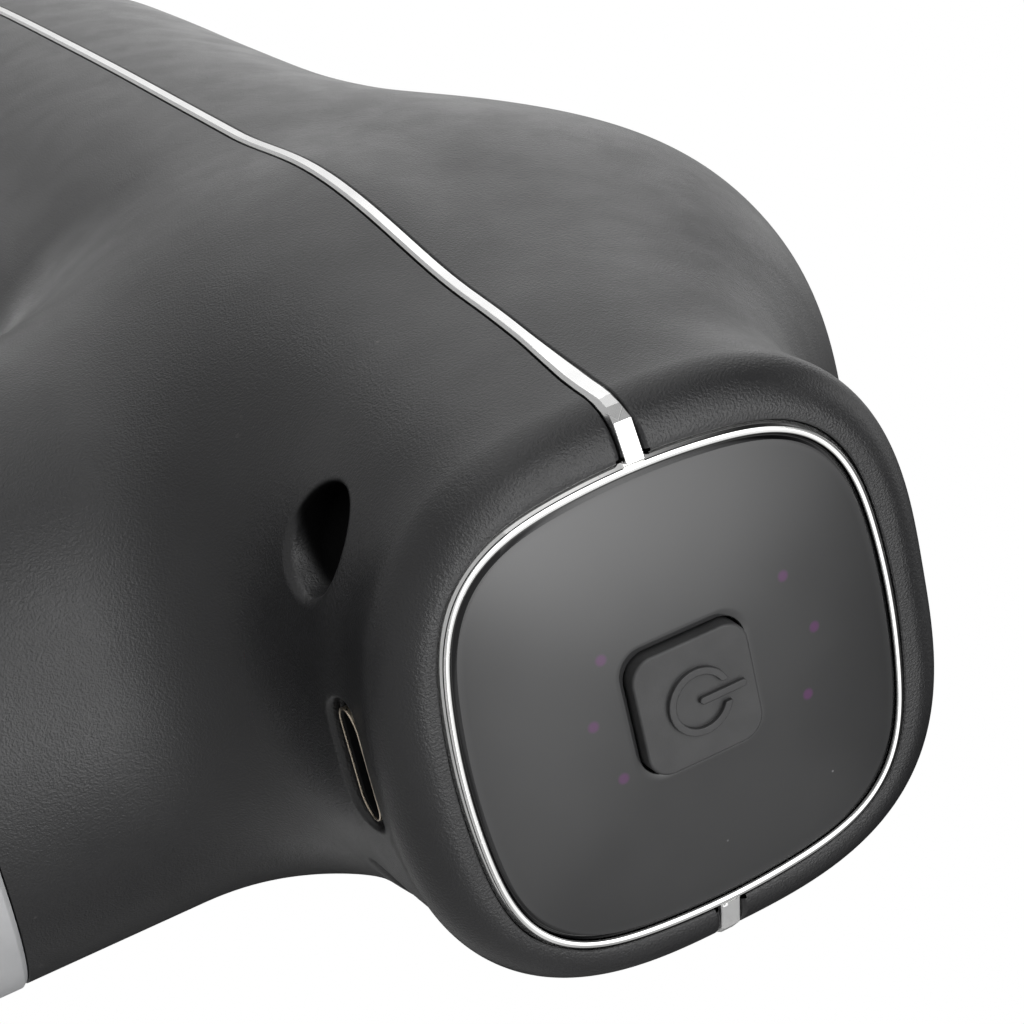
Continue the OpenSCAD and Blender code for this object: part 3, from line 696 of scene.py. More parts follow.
def lens_piece(mats):
    """Clear window: bevelled edge, slightly crowned face, hole for the button."""
    n = 360
    out = even(frame_line(-0.34), n)
    # start both outlines on +X and keep them in step by angle
    ang = np.unwrap(np.arctan2(out[:, 1], out[:, 0]))
    inner = rounded_square(BTN + 0.17, 1.95, n)
    ia = np.arctan2(inner[:, 1], inner[:, 0]) % (2 * math.pi)
    order = np.argsort(ia)
    inner = np.stack([np.interp(ang % (2 * math.pi), ia[order], inner[order, j], period=2 * math.pi) for j in (0, 1)], -1)
    edge = ringed(out, eased([(0, 2.2, 0), (0, 0.02, 0.06), (0.38, LENS_S, 0.05), (0.9, LENS_S, 0)], 5, closed=False))
    k = Piece()
    rows = [edge[i] for i in range(len(edge) - 1)]
    last = edge[-1]
    hole = np.stack([inner[:, 0], np.full(n, RY), inner[:, 1]], -1)
    lip = [(0.12, 0.0), (0.05, 0.02), (0.01, 0.08), (0.0, 0.16), (0.0, 2.2)]
    d = unit(np.stack([inner[:, 0], np.zeros(n), inner[:, 1]], -1))
    for t in np.linspace(0, 1, 22)[:-1]:
        q = last * (1 - t) + (hole + d * 0.12) * t
        q[:, 1] = RY - LENS_S + crown(q)
        rows.append(q)
    for off, s in lip:
        q = hole + d * off
        q[:, 1] = (RY - LENS_S + crown(q) - s) if s < 1 else RY - s
        rows.append(q)
    k.grid(np.stack(rows, 0), close_u=True, close_v=True)
    return k.make("lens_panel", mats, "housing", ("panel_lens",))


def button_field(x, y, z):
    s = RY - y
    half = BTN - 0.04 * np.exp(-np.maximum(s - BTN_TOP, 0) / 0.6)
    r = 1.8
    qx, qz = np.abs(x) - (half - r), np.abs(z) - (half - r)
    d = np.hypot(np.maximum(qx, 0), np.maximum(qz, 0)) + np.minimum(np.maximum(qx, qz), 0) - r
    top = BTN_TOP - s + 0.0016 * (x * x + z * z)
    f = round_max(d, top, 0.16)
    f = np.maximum(f, s - 2.4)
    rr = np.hypot(x, z)
    ring = np.abs(rr - 2.225) - 0.275
    gap = np.maximum(np.abs(x) - 0.8, -z)
    ring = round_max(ring, -gap, 0.12)
    bar = np.hypot(x, np.maximum(np.abs(z - 1.78) - 1.6, 0)) - 0.27
    # the symbol stands a little over the face
    g = round_max(np.minimum(ring, bar), top - 0.36, 0.05)
    return np.minimum(f, np.maximum(g, s - (BTN_TOP + 0.4)))


def button_piece(mats):
    v, q = nets(button_field, (-4.95, RY - 1.2, -4.95), (4.95, RY + 2.5, 4.95), 0.075)
    v = onto(button_field, v, 5, 0.075)
    k = Skin()
    k.add(v, unit(grad(button_field, v)), q.tolist())
    o = k.build("button_cap", mats)
    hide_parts("power_button")
    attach(o, "button")
    return o


# ----------------------------------------------------------------- charge port
def oblong_outline(half, r, k=96):
    a = (np.arange(k) + 0.5) * 2 * math.pi / k
    return np.stack([(half - r) * np.sign(np.cos(a)) + r * np.cos(a), r * np.sin(a)], -1)


def port_piece(mats):
    out = oblong_outline(4.47, 1.63, 128)
    t = unit(np.roll(out, -1, 0) - np.roll(out, 1, 0))
    inward = np.stack([-t[:, 1], t[:, 0]], -1)
    py = RY - PORT_S + 0.13
    k = Piece()

    def loop(path, mat=0, close=True):
        g = np.stack([np.stack([out[:, 0] + inward[:, 0] * d, py + out[:, 1] + inward[:, 1] * d, np.full(len(out), z)], -1) for d, z in path], 0)
        k.grid(g, close_u=close, close_v=True, mat=mat)

    loop(eased([(0, -14, 0), (0, -21.1, 0.07), (0.17, -21.1, 0.07), (0.17, -20.98, 0)], 5, closed=False), 0, False)
    loop([(0.17, -20.98), (0.3, -20.85), (0.3, -14.6), (0.9, -14.6), (1.6, -14.6)], 1, False)
    # tongue with its row of contacts
    tong = eased([(-3.3, -0.34, 0.25), (3.3, -0.34, 0.25), (3.3, 0.34, 0.25), (-3.3, 0.34, 0.25)], 5)
    tz = [(1.0, -14.4), (1.0, -19.7), (0.97, -19.95), (0.9, -20.05), (0.0, -20.05)]
    k.grid(np.stack([np.stack([tong[:, 0] * f, py + tong[:, 1] * f, np.full(len(tong), z)], -1) for f, z in tz], 0), close_v=True, mat=1)
    for face in (-1, 1):
        for i in range(12):
            x = -2.75 + 0.5 * i
            pad = eased([(-0.12, -0.03, 0.02), (0.12, -0.03, 0.02), (0.12, 0.03, 0.02), (-0.12, 0.03, 0.02)], 2)
            k.grid(np.stack([np.stack([x + pad[:, 0] * f, py + face * 0.35 + pad[:, 1] * f, np.full(len(pad), z)], -1) for f, z in ((0.0, -16.0), (1, -16.0), (1, -19.55), (0.8, -19.6), (0.0, -19.6))], 0), close_v=True, mat=2)
    return k.make("port_shell", mats, "housing", ("usb_socket",))


# ------------------------------------------------------------- front and handle
FY = RY - LEN
TIP = FY - 11.0
FLANGE = TIP - 0.3


def turned(name, pts, where, mats, body_name, nodes, n=8, step=2.5, seg=224, angle=38.0):
    path = refined(eased(pts, n), step)
    k = Piece()
    k.grid(revolve(path, where, seg), close_u=True, close_v=True)
    return k.make(name, mats, body_name, nodes, angle=angle)


def groove(r, h, w, d, inner=0.08):
    """Corners of a small groove cut into a cylinder of radius r at height h, going up."""
    return [(r, h - w / 2, 0.12), (r - d, h - w / 2 + d * 0.3, inner), (r - d, h + w / 2 - d * 0.3, inner), (r, h + w / 2, 0.12)]


def front_pieces(m):
    turned("collar_front", [(17.1, 0.5, 0.3), (17.1, 7.9, 0.5), (19.2, 8.0, 0.3), (19.6, 7.55, 0.15), (20.3, 7.55, 0.15), (20.7, 8.0, 0.3), (26.6, 7.9, 3.2), (31.9, 5.2, 3.0), (32.62, 1.1, 0.8), (32.5, 0.7, 0.1), (31.9, 0.55, 0.1), (31.9, 0.05, 0.05),
                             (30.1, 0.0, 0.1), (30.1, -5.8, 0.3), (28.3, -5.8, 0.3), (28.3, 0.5, 0.2)], FY, [m["collar_plastic"]], "housing", ("front_collar",))
    turned("seal_bellows", [(8.37, 5.1, 0.1), (8.37, 7.5, 0.3), (10.1, 7.5, 0.5), (11.5, 5.6, 0.6), (13, 6.95, 0.6), (14.5, 5.6, 0.6), (16.9, 5.6, 0.2), (16.9, 2.7, 0.2), (14.8, 2.65, 0.5), (13, 4.6, 0.6), (11.2, 3.3, 0.6), (10, 5.05, 0.3)],
           FY, [m["black_rubber"]], "housing", ("plunger_seal",), seg=160)
    # pull-off head: flange, stem and ball, all turned about the barrel's axis
    k = Piece()
    path = eased([(3.25, -21.8, 0.2), (5.4, -21.9, 0.6), (5.4, -15.95, 0.1), (4.28, -15.9, 0.05), (4.28, -14.15, 0.05), (5.4, -14.1, 0.1), (5.4, -6.95, 0.1), (4.28, -6.9, 0.05), (4.28, -5.15, 0.05), (5.4, -5.1, 0.1),
                  (5.4, 0.25, 0.3), (10.6, 0.3, 0.5), (11.0, 0.9, 0.25), (11.0, 3.2, 0.1), (5.4, 3.25, 0.2), (5.4, 20.2, 0.4), (3.25, 20.2, 0.1)], 6)
    k.grid(revolve(refined(path, 2.0), TIP, 144), close_u=True, close_v=True)
    k.make("stem_head", [m["head_plastic"]], "massage_head", ("head_stem",))
    br = 24.0
    by = math.sqrt(br * br - 169) + 3.2
    t0 = math.acos(-math.sqrt(br * br - 169) / br)
    arc = []
    for t in np.linspace(t0, 0.0, 120):
        r = br
        e = (t - 1.42) * br
        r -= 0.16 * math.exp(-(e / 0.24) ** 2)
        arc.append((r * math.sin(t), by + r * math.cos(t)))
    arc = [(0.02, 20.5), (5.47, 20.5), (5.47, 3.35), (5.6, 3.25), (12.2, 3.22), (12.8, 3.26)] + arc[1:]
    g = revolve(np.array([(r, h + 0.3) for r, h in arc]), TIP, 256)
    k = Piece()
    k.grid(g, close_v=True)
    k.make("ball_head", [m["head_rubber"]], "massage_head", ("head_ball",), angle=60, outward=True)


def handle_pieces(m):
    top = AX - NECK
    turned("ring_band", [(22.5, top - 6.95, 0.1), (24.05, top - 7.0, 0.1), (24.38, top - 6.6, 0.3), (24.38, top - 0.5, 0.3), (24.05, top - 0.12, 0.1), (22.5, top - 0.1, 0.1)], "handle", [m["satin_ring"]], "housing", ("handle_ring",))
    lo, hi = 14.2, top - 7.2
    out = [(22.5, lo, 0.1), (24.0, lo, 0.3), (24.2, lo + 0.5, 0.4)]
    for h in (lo + 5.0, lo + 8.0, lo + 11.0):
        out += groove(24.2, h, 1.1, 0.45)
    for h in (hi - 11.0, hi - 8.0, hi - 5.0):
        out += groove(24.2, h, 1.1, 0.45)
    out += [(24.2, hi - 0.5, 0.4), (24.0, hi, 0.3), (22.5, hi, 0.1)]
    turned("grip_skin", out, "handle", [m["grip_rubber"]], "housing", ("grip_sleeve",), n=5, step=4.0, seg=256)
    turned("cap_end", [(0.02, 1.55, 0), (17.3, 1.55, 0.05), (17.3, 0.8, 0.1), (19.8, 0.8, 0.6), (22.0, 1.4, 1.5), (23.6, 3.0, 2.0), (24.15, 5.5, 1.0)] + groove(24.15, 10.6, 0.7, 0.35) +
           [(24.15, 13.75, 0.4), (20.0, 13.95, 0.1), (20.0, 19.9, 0.2), (18.0, 19.9, 0.2), (18.0, 6.0, 0.3), (0.02, 6.0, 0)], "handle", [m["collar_plastic"]], "housing", ("end_cap",), n=6, step=3.0)


# ------------------------------------------------------------------ materials
def start(name):
    m = bpy.data.materials.new(name)
    m.use_nodes = True
    t = m.node_tree
    return m, t, t.nodes["Principled BSDF"]


def put(t, kind, sockets=(), **props):
    n = t.nodes.new("ShaderNode" + kind)
    for k, v in props.items():
        setattr(n, k, v)
    for k, v in dict(sockets).items():
        if isinstance(v, bpy.types.NodeSocket):
            t.links.new(v, n.inputs[k])
        else:
            n.inputs[k].default_value = v
    return n


def here(t, stretch=None):
    """Object coordinates in metres, stretched if asked."""
    c = t.nodes.new("ShaderNodeTexCoord").outputs["Object"]
    if stretch is None:
        return c
    return put(t, "Mapping", {0: c, "Scale": stretch}).outputs[0]


def noise(t, mm, detail=2.0, rough=0.5, at=None, distort=0.0):
    """Noise whose features are about mm across."""
    return put(t, "TexNoise", {"Vector": at or here(t), "Scale": 1000.0 / mm, "Detail": detail, "Roughness": rough, "Distortion": distort}).outputs["Fac"]


def ramp(t, fac, lo, hi, a=0.35, b=0.65):
    """Grey value lo..hi as fac goes a..b."""
    return put(t, "MapRange", {0: fac, 1: a, 2: b, 3: lo, 4: hi}, clamp=True, interpolation_type="SMOOTHSTEP").outputs[0]


def blend_col(t, fac, a, b):
    n = put(t, "Mix", {0: fac, 6: (*a, 1) if isinstance(a, tuple) else a, 7: (*b, 1) if isinstance(b, tuple) else b}, data_type="RGBA")
    return n.outputs[2]


def math2(t, op, a, b=0.0):
    return put(t, "Math", {0: a, 1: b}, operation=op).outputs[0]


def bump(t, height, mm, strength=1.0, below=None):
    s = {"Height": height, "Distance": mm * MM, "Strength": strength}
    if below is not None:
        s["Normal"] = below
    return put(t, "Bump", s).outputs[0]


def finish_of(name, light, dark, rough, metal=0.0, spread=6.0, grain=None, brushed=None, dust=0.0, scratch=0.0, coat=0.0, coat_rough=0.1, spec=None, sheen=0.0, subs=None):
    """A finish with slow colour change, uneven gloss, fine grain, and, where asked, brushing, dust and scratches.
    rough is (lowest, highest); grain is [(size mm, height mm, strength), ...]."""
    m, t, b = start(name)
    at = here(t)
    slow = noise(t, spread, 3.0, 0.55, at)
    col = blend_col(t, ramp(t, slow, 0, 1, 0.3, 0.7), dark, light)
    gloss = noise(t, spread * 0.55 + 0.3, 4.0, 0.6, at)
    r = ramp(t, gloss, rough[0], rough[1], 0.3, 0.7)
    nrm = None
    for size, height, strength in grain or ():
        nrm = bump(t, noise(t, size, 2.0, 0.5, at), height, strength, nrm)
    if brushed:
        # brushed = (stretch vector, size mm, height mm)
        lines = noise(t, brushed[1], 3.0, 0.6, here(t, brushed[0]))
        nrm = bump(t, lines, brushed[2], 1.0, nrm)
        r = math2(t, "ADD", r, math2(t, "MULTIPLY", math2(t, "SUBTRACT", lines, 0.5), 0.25))
    if scratch:
        v = put(t, "TexVoronoi", {"Vector": put(t, "Mapping", {0: at, "Scale": (1.0, 0.06, 1.0), "Rotation": (0.5, 0.3, 0.8)}).outputs[0], "Scale": 420.0}, feature="DISTANCE_TO_EDGE").outputs["Distance"]
        line = ramp(t, v, 1, 0, 0.0, 0.012)
        line = math2(t, "MULTIPLY", line, ramp(t, noise(t, 9.0, 1.0, 0.5, at), 0, 1, 0.5, 0.62))
        r = math2(t, "ADD", r, math2(t, "MULTIPLY", line, scratch))
        nrm = bump(t, line, 0.004, 0.5, nrm)
    if dust:
        spots = put(t, "TexVoronoi", {"Vector": at, "Scale": 260.0, "Randomness": 1.0}).outputs["Distance"]
        speck = ramp(t, spots, 1, 0, 0.035, 0.06)
        keep = ramp(t, noise(t, 14.0, 1.0, 0.5, at), 0, 1, 0.5, 0.7)
        speck = math2(t, "MULTIPLY", speck, keep)
        speck = math2(t, "MULTIPLY", speck, dust)
        col = blend_col(t, speck, col, (0.35, 0.34, 0.33))
        r = math2(t, "ADD", r, math2(t, "MULTIPLY", speck, 0.4))
    t.links.new(col, b.inputs["Base Color"])
    t.links.new(r, b.inputs["Roughness"])
    if nrm is not None:
        t.links.new(nrm, b.inputs["Normal"])
    b.inputs["Metallic"].default_value = metal
    if coat:
        b.inputs["Coat Weight"].default_value = coat
        b.inputs["Coat Roughness"].default_value = coat_rough
    if spec is not None:
        b.inputs["Specular IOR Level"].default_value = spec
    if sheen:
        b.inputs["Sheen Weight"].default_value = sheen
        b.inputs["Sheen Roughness"].default_value = 0.6
    return m


def shell_finish(name):
    """Textured black plastic, with painted shade in the screw wells: darker colour, less specular and more roughness
    down inside them.
    """
    m = finish_of(name, (0.0235, 0.0235, 0.0245), (0.0185, 0.0185, 0.0195), (0.28, 0.35), spread=9.0, grain=[(0.40, 0.009, 0.8), (0.19, 0.047, 1.0), (0.11, 0.020, 1.0)], dust=0.3)
    t = m.node_tree
    b = t.nodes["Principled BSDF"]
    cx, cy, top, r, _ = WELLS[0]
    xyz = put(t, "SeparateXYZ", {0: here(t)})
    flat = put(t, "CombineXYZ", {"X": math2(t, "ABSOLUTE", xyz.outputs["X"]), "Y": xyz.outputs["Y"]}).outputs[0]
    away = put(t, "VectorMath", {0: flat, 1: (cx * MM, cy * MM, 0)}, operation="DISTANCE").outputs["Value"]
    high = xyz.outputs["Z"]
    # painted shade: inside the screw wells the colour goes near-black, the specular drops and the roughness rises
    painted_well_shade = math2(t, "MULTIPLY", ramp(t, away, 1, 0, (r + 0.1) * MM, (r + 0.5) * MM), math2(t, "MULTIPLY", ramp(t, high, 0, 1, (AX - 19.0) * MM, (AX - 17.6) * MM), ramp(t, high, 1, 0, (AX - 8.0) * MM, (AX - 7.0) * MM)))
    was = b.inputs["Base Color"].links[0].from_socket
    t.links.new(blend_col(t, painted_well_shade, was, (0.0015, 0.0015, 0.0016)), b.inputs["Base Color"])
    t.links.new(ramp(t, painted_well_shade, 0.5, 0.06, 0.0, 1.0), b.inputs["Specular IOR Level"])
    t.links.new(math2(t, "ADD", b.inputs["Roughness"].links[0].from_socket, math2(t, "MULTIPLY", painted_well_shade, 0.5)), b.inputs["Roughness"])
    return m


def trim_finish(name):
    """Satin bright trim, duller at the end on the far side."""
    m = finish_of(name, (0.90, 0.90, 0.895), (0.85, 0.85, 0.845), (0.13, 0.19), metal=1.0, spread=3.0, grain=[(1.2, 0.004, 0.5), (0.25, 0.0012, 0.5)], scratch=0.1)
    t = m.node_tree
    b = t.nodes["Principled BSDF"]
    xyz = put(t, "SeparateXYZ", {0: here(t)})
    end = math2(t, "MULTIPLY", ramp(t, xyz.outputs["X"], 1, 0, -1.0 * MM, 0.0), ramp(t, xyz.outputs["Y"], 0, 1, (RY - 5.0) * MM, (RY - 3.5) * MM))
    t.links.new(math2(t, "ADD", b.inputs["Roughness"].links[0].from_socket, math2(t, "MULTIPLY", end, 0.34)), b.inputs["Roughness"])
    return m


def panel_finish(name):
    """Gloss black window: six dim status lights under it, faint smears, hairline scratches and dust."""
    m, t, b = start(name)
    at = here(t)
    flat = put(t, "Mapping", {0: at, "Scale": (1, 0, 1)}).outputs[0]
    near = None
    for x, z in LEDS:
        d = put(t, "VectorMath", {0: flat, 1: (x * MM, 0, (z + AX) * MM)}, operation="DISTANCE").outputs["Value"]
        near = d if near is None else math2(t, "MINIMUM", near, d)
    dot = ramp(t, near, 1, 0, 0.00022, 0.00055)
    base = blend_col(t, ramp(t, noise(t, 11.0, 2.0, 0.5, at), 0, 1), (0.031, 0.0312, 0.032), (0.037, 0.0373, 0.038))
    col = blend_col(t, dot, base, (0.088, 0.029, 0.092))
    # painted dark reflection: a near-black band all round the bevelled edge
    xyz = put(t, "SeparateXYZ", {0: here(t)})
    px = math2(t, "POWER", math2(t, "ABSOLUTE", xyz.outputs["X"]), 3.03)
    pz = math2(t, "POWER", math2(t, "ABSOLUTE", math2(t, "SUBTRACT", xyz.outputs["Z"], AX * MM)), 3.03)
    out = math2(t, "POWER", math2(t, "ADD", px, pz), 1 / 3.03)
    painted_bevel_reflection = ramp(t, out, 0, 1, 16.38 * MM, 16.54 * MM)
    col = blend_col(t, painted_bevel_reflection, col, (0.003, 0.003, 0.0035))
    r = ramp(t, noise(t, 7.0, 4.0, 0.6, at), 0.05, 0.075)
    spots = put(t, "TexVoronoi", {"Vector": at, "Scale": 420.0}).outputs["Distance"]
    speck = ramp(t, spots, 1, 0, 0.03, 0.055)
    speck = math2(t, "MULTIPLY", speck, ramp(t, noise(t, 6.0, 1.0, 0.5, at), 0, 1, 0.52, 0.62))
    col = blend_col(t, math2(t, "MULTIPLY", speck, 0.55), col, (0.30, 0.30, 0.31))
    v = put(t, "TexVoronoi", {"Vector": put(t, "Mapping", {0: at, "Scale": (0.05, 1.0, 1.0), "Rotation": (0.0, 0.7, 0.0)}).outputs[0], "Scale": 160.0}, feature="DISTANCE_TO_EDGE").outputs["Distance"]
    line = math2(t, "MULTIPLY", ramp(t, v, 1, 0, 0.0, 0.006), ramp(t, noise(t, 8.0, 1.0, 0.5, at), 0, 1, 0.56, 0.64))
    r = math2(t, "ADD", r, math2(t, "ADD", math2(t, "MULTIPLY", line, 0.04), math2(t, "MULTIPLY", speck, 0.4)))
    n = bump(t, noise(t, 9.0, 1.0, 0.5, at), 0.006, 0.5)
    t.links.new(col, b.inputs["Base Color"])
    t.links.new(r, b.inputs["Roughness"])
    t.links.new(n, b.inputs["Normal"])
    b.inputs["Specular IOR Level"].default_value = 0.48
    return m


GREY = (0.62, 0.62, 0.63)
M = {
    "shell_plastic": shell_finish("shell_plastic"),
    "bright_trim": finish_of("bright_trim", (0.93, 0.93, 0.92), (0.88, 0.88, 0.87), (0.035, 0.09), metal=1.0, spread=3.0, grain=[(1.6, 0.003, 0.5)], scratch=0.1),
    "trim_satin": trim_finish("trim_satin"),
    "panel_gloss": panel_finish("panel_gloss"),
    "button_plastic": finish_of("button_plastic", (0.052, 0.052, 0.053), (0.043, 0.043, 0.044), (0.42, 0.5), spread=2.5, grain=[(0.22, 0.010, 0.7), (0.10, 0.006, 0.7)], dust=0.3),
    "diffuser": finish_of("diffuser", (0.80, 0.79, 0.83), (0.70, 0.69, 0.74), (0.35, 0.5), spread=4.0, grain=[(0.5, 0.01, 0.4)]),
    "led_body": finish_of("led_body", (0.75, 0.35, 0.72), (0.62, 0.26, 0.60), (0.2, 0.35), spread=0.8, grain=[(0.3, 0.01, 0.3)], coat=0.5),
    "switch_metal": finish_of("switch_metal", GREY, (0.5, 0.5, 0.52), (0.25, 0.4), metal=1.0, spread=1.5, brushed=((1, 1, 12), 0.4, 0.004)),
    "circuit_board": finish_of("circuit_board", (0.020, 0.115, 0.060), (0.012, 0.080, 0.042), (0.3, 0.45), spread=3.0, grain=[(0.9, 0.02, 0.5), (0.3, 0.006, 0.5)], coat=0.5),
    "screw_steel": finish_of("screw_steel", (0.55, 0.55, 0.57), (0.38, 0.38, 0.40), (0.25, 0.45), metal=1.0, spread=1.2, grain=[(0.3, 0.008, 0.6)], scratch=0.2),
    "screw_dark": finish_of("screw_dark", (0.10, 0.10, 0.105), (0.05, 0.05, 0.055), (0.35, 0.55), metal=1.0, spread=1.0, grain=[(0.25, 0.008, 0.6)], scratch=0.2),
    "socket_metal": finish_of("socket_metal", (0.80, 0.70, 0.56), (0.66, 0.57, 0.45), (0.18, 0.34), metal=1.0, spread=0.9, grain=[(0.35, 0.004, 0.5)], scratch=0.15),
    "cast_aluminium": finish_of("cast_aluminium", (0.50, 0.50, 0.51), (0.36, 0.36, 0.37), (0.42, 0.6), metal=1.0, spread=5.0, grain=[(0.8, 0.03, 0.6), (0.25, 0.012, 0.6)]),
    "black_rubber": finish_of("black_rubber", (0.016, 0.016, 0.0165), (0.010, 0.010, 0.0105), (0.62, 0.8), spread=2.5, grain=[(0.35, 0.02, 0.5)], dust=0.6, sheen=0.1),
    "bearing_steel": finish_of("bearing_steel", (0.70, 0.70, 0.71), (0.56, 0.56, 0.58), (0.12, 0.25), metal=1.0, spread=2.0, brushed=((1, 1, 10), 0.3, 0.003)),
    "laminated_steel": finish_of("laminated_steel", (0.26, 0.26, 0.28), (0.16, 0.16, 0.175), (0.35, 0.5), metal=1.0, spread=1.5, brushed=((0.05, 0.05, 6), 2.1, 0.03)),
    "copper_wire": finish_of("copper_wire", (0.76, 0.32, 0.14), (0.50, 0.17, 0.06), (0.2, 0.35), metal=1.0, spread=1.2, brushed=((0.4, 0.4, 6), 2.4, 0.09), coat=0.6),
    "can_steel": finish_of("can_steel", (0.34, 0.34, 0.36), (0.24, 0.24, 0.26), (0.28, 0.42), metal=1.0, spread=4.0, brushed=((0.4, 0.4, 8), 1.2, 0.004)),
    "magnet_nickel": finish_of("magnet_nickel", (0.48, 0.47, 0.46), (0.38, 0.37, 0.36), (0.2, 0.35), metal=1.0, spread=2.0, grain=[(0.5, 0.006, 0.5)]),
    "wheel_brass": finish_of("wheel_brass", (0.72, 0.55, 0.26), (0.52, 0.38, 0.16), (0.2, 0.38), metal=1.0, spread=3.0, brushed=((1, 1, 9), 0.5, 0.004), scratch=0.2),
    "rod_aluminium": finish_of("rod_aluminium", (0.56, 0.56, 0.58), (0.44, 0.44, 0.46), (0.3, 0.45), metal=1.0, spread=3.0, brushed=((9, 1, 1), 0.5, 0.005)),
    "plunger_aluminium": finish_of("plunger_aluminium", (0.74, 0.74, 0.75), (0.62, 0.62, 0.64), (0.16, 0.28), metal=1.0, spread=3.0, brushed=((1, 9, 1), 0.4, 0.003), scratch=0.2),
    "bush_bronze": finish_of("bush_bronze", (0.60, 0.42, 0.20), (0.42, 0.27, 0.12), (0.35, 0.5), metal=1.0, spread=2.5, grain=[(0.3, 0.015, 0.6)]),
    "collar_plastic": finish_of("collar_plastic", (0.0175, 0.0178, 0.0185), (0.0135, 0.0138, 0.0145), (0.36, 0.46), spread=7.0, grain=[(0.5, 0.008, 0.6), (0.22, 0.008, 0.8)], dust=0.35),
    "head_plastic": finish_of("head_plastic", (0.030, 0.030, 0.032), (0.022, 0.022, 0.024), (0.32, 0.45), spread=4.0, grain=[(0.35, 0.008, 0.6)], scratch=0.15),
    "head_rubber": finish_of("head_rubber", (0.020, 0.020, 0.0205), (0.014, 0.014, 0.0145), (0.55, 0.68), spread=10.0, grain=[(0.8, 0.014, 0.6), (0.3, 0.012, 0.7)], dust=0.6, sheen=0.12),
    "satin_ring": finish_of("satin_ring", (0.60, 0.605, 0.615), (0.55, 0.555, 0.565), (0.32, 0.42), metal=0.15, spread=5.0, brushed=((1, 1, 14), 0.35, 0.004)),
    "inner_plastic": finish_of("inner_plastic", (0.045, 0.045, 0.048), (0.032, 0.032, 0.034), (0.5, 0.62), spread=6.0, grain=[(0.5, 0.012, 0.5)]),
    "grip_rubber": finish_of("grip_rubber", (0.021, 0.021, 0.022), (0.015, 0.015, 0.016), (0.62, 0.76), spread=8.0, grain=[(1.1, 0.03, 0.6), (0.35, 0.016, 0.7)], dust=0.6, sheen=0.15),
    "cell_pouch": finish_of("cell_pouch", (0.20, 0.38, 0.62), (0.14, 0.30, 0.52), (0.2, 0.35), metal=0.6, spread=8.0, grain=[(3.0, 0.06, 0.6), (0.8, 0.01, 0.4)], coat=0.4),
    "lead_red": finish_of("lead_red", (0.52, 0.035, 0.028), (0.40, 0.022, 0.018), (0.42, 0.55), spread=3.0, grain=[(0.5, 0.012, 0.5)], dust=0.3),
    "lead_yellow": finish_of("lead_yellow", (0.70, 0.50, 0.07), (0.58, 0.39, 0.05), (0.42, 0.55), spread=3.0, grain=[(0.5, 0.012, 0.5)], dust=0.3),
    "tongue_plastic": finish_of("tongue_plastic", (0.006, 0.006, 0.0065), (0.004, 0.004, 0.0045), (0.5, 0.62), spread=1.0, grain=[(0.2, 0.004, 0.4)], spec=0.12),
    "contact_gold": finish_of("contact_gold", (0.90, 0.66, 0.28), (0.78, 0.54, 0.20), (0.12, 0.22), metal=1.0, spread=0.4, grain=[(0.2, 0.002, 0.4)]),
}

# the carried-over CAD pieces take the same finishes, by their slots
record = frame["record"]
for sub in record["subparts"]:
    o = frame["nodes"][sub["node"]]
    if not o.material_slots:
        o.data.materials.append(M[sub["material_slot"]])
    for sl in o.material_slots:
        sl.material = M[sub["material_slot"]]

# --------------------------------------------------------------------- pieces
t_upper = build_upper([M["shell_plastic"]])
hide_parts("upper_shell")
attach(t_upper, "housing")
t_lower = build_lower([M["shell_plastic"]])
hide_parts("lower_shell")
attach(t_lower, "housing")
for side in (1, -1):
    trim_strip(side, [M["trim_satin"]])
bezel_piece([M["bright_trim"]])
lens_piece([M["panel_gloss"]])
button_piece([M["button_plastic"]])
port_piece([M["socket_metal"], M["tongue_plastic"], M["contact_gold"]])
front_pieces(M)
handle_pieces(M)
turned("pad_foot", [(0.02, 1.5, 0), (17.2, 1.5, 0.05), (17.2, 0.6, 0.3), (16.6, 0.0, 0.3), (12.8, 0.0, 0.08), (12.8, 0.4, 0.1), (12.0, 0.4, 0.1), (12.0, 0.0, 0.08), (8.8, 0.0, 0.08), (8.8, 0.4, 0.1), (8.0, 0.4, 0.1), (8.0, 0.0, 0.08), (0.02, 0.0, 0)],
       "handle", [M["black_rubber"]], "housing", ("foot_pad",), n=5, step=3.0, seg=160)

# --------------------------------------------------------------------- camera
SC = 18.5
ring_c = Vector((0, RY, AX))
loc = ring_c + Vector((76.6, 126.1, -57.5)) * (SC / 18.0)
fwd = Vector((-0.404, -0.854, 0.329)).normalized()
right = Vector((-0.217, 0.439, 0.872))
right = (right - right.dot(fwd) * fwd).normalized()
up = right.cross(fwd).normalized()
cam_data = bpy.data.cameras.new("camera")
cam_data.sensor_width = 36
cam_data.lens = 36 * 2370 / 1024
cam_data.clip_start = 0.01
cam = bpy.data.objects.new("camera", cam_data)
scene.collection.objects.link(cam)
cam.matrix_world = Matrix(((right.x, up.x, -fwd.x, loc.x * MM), (right.y, up.y, -fwd.y, loc.y * MM), (right.z, up.z, -fwd.z, loc.z * MM), (0, 0, 0, 1)))
scene.camera = cam

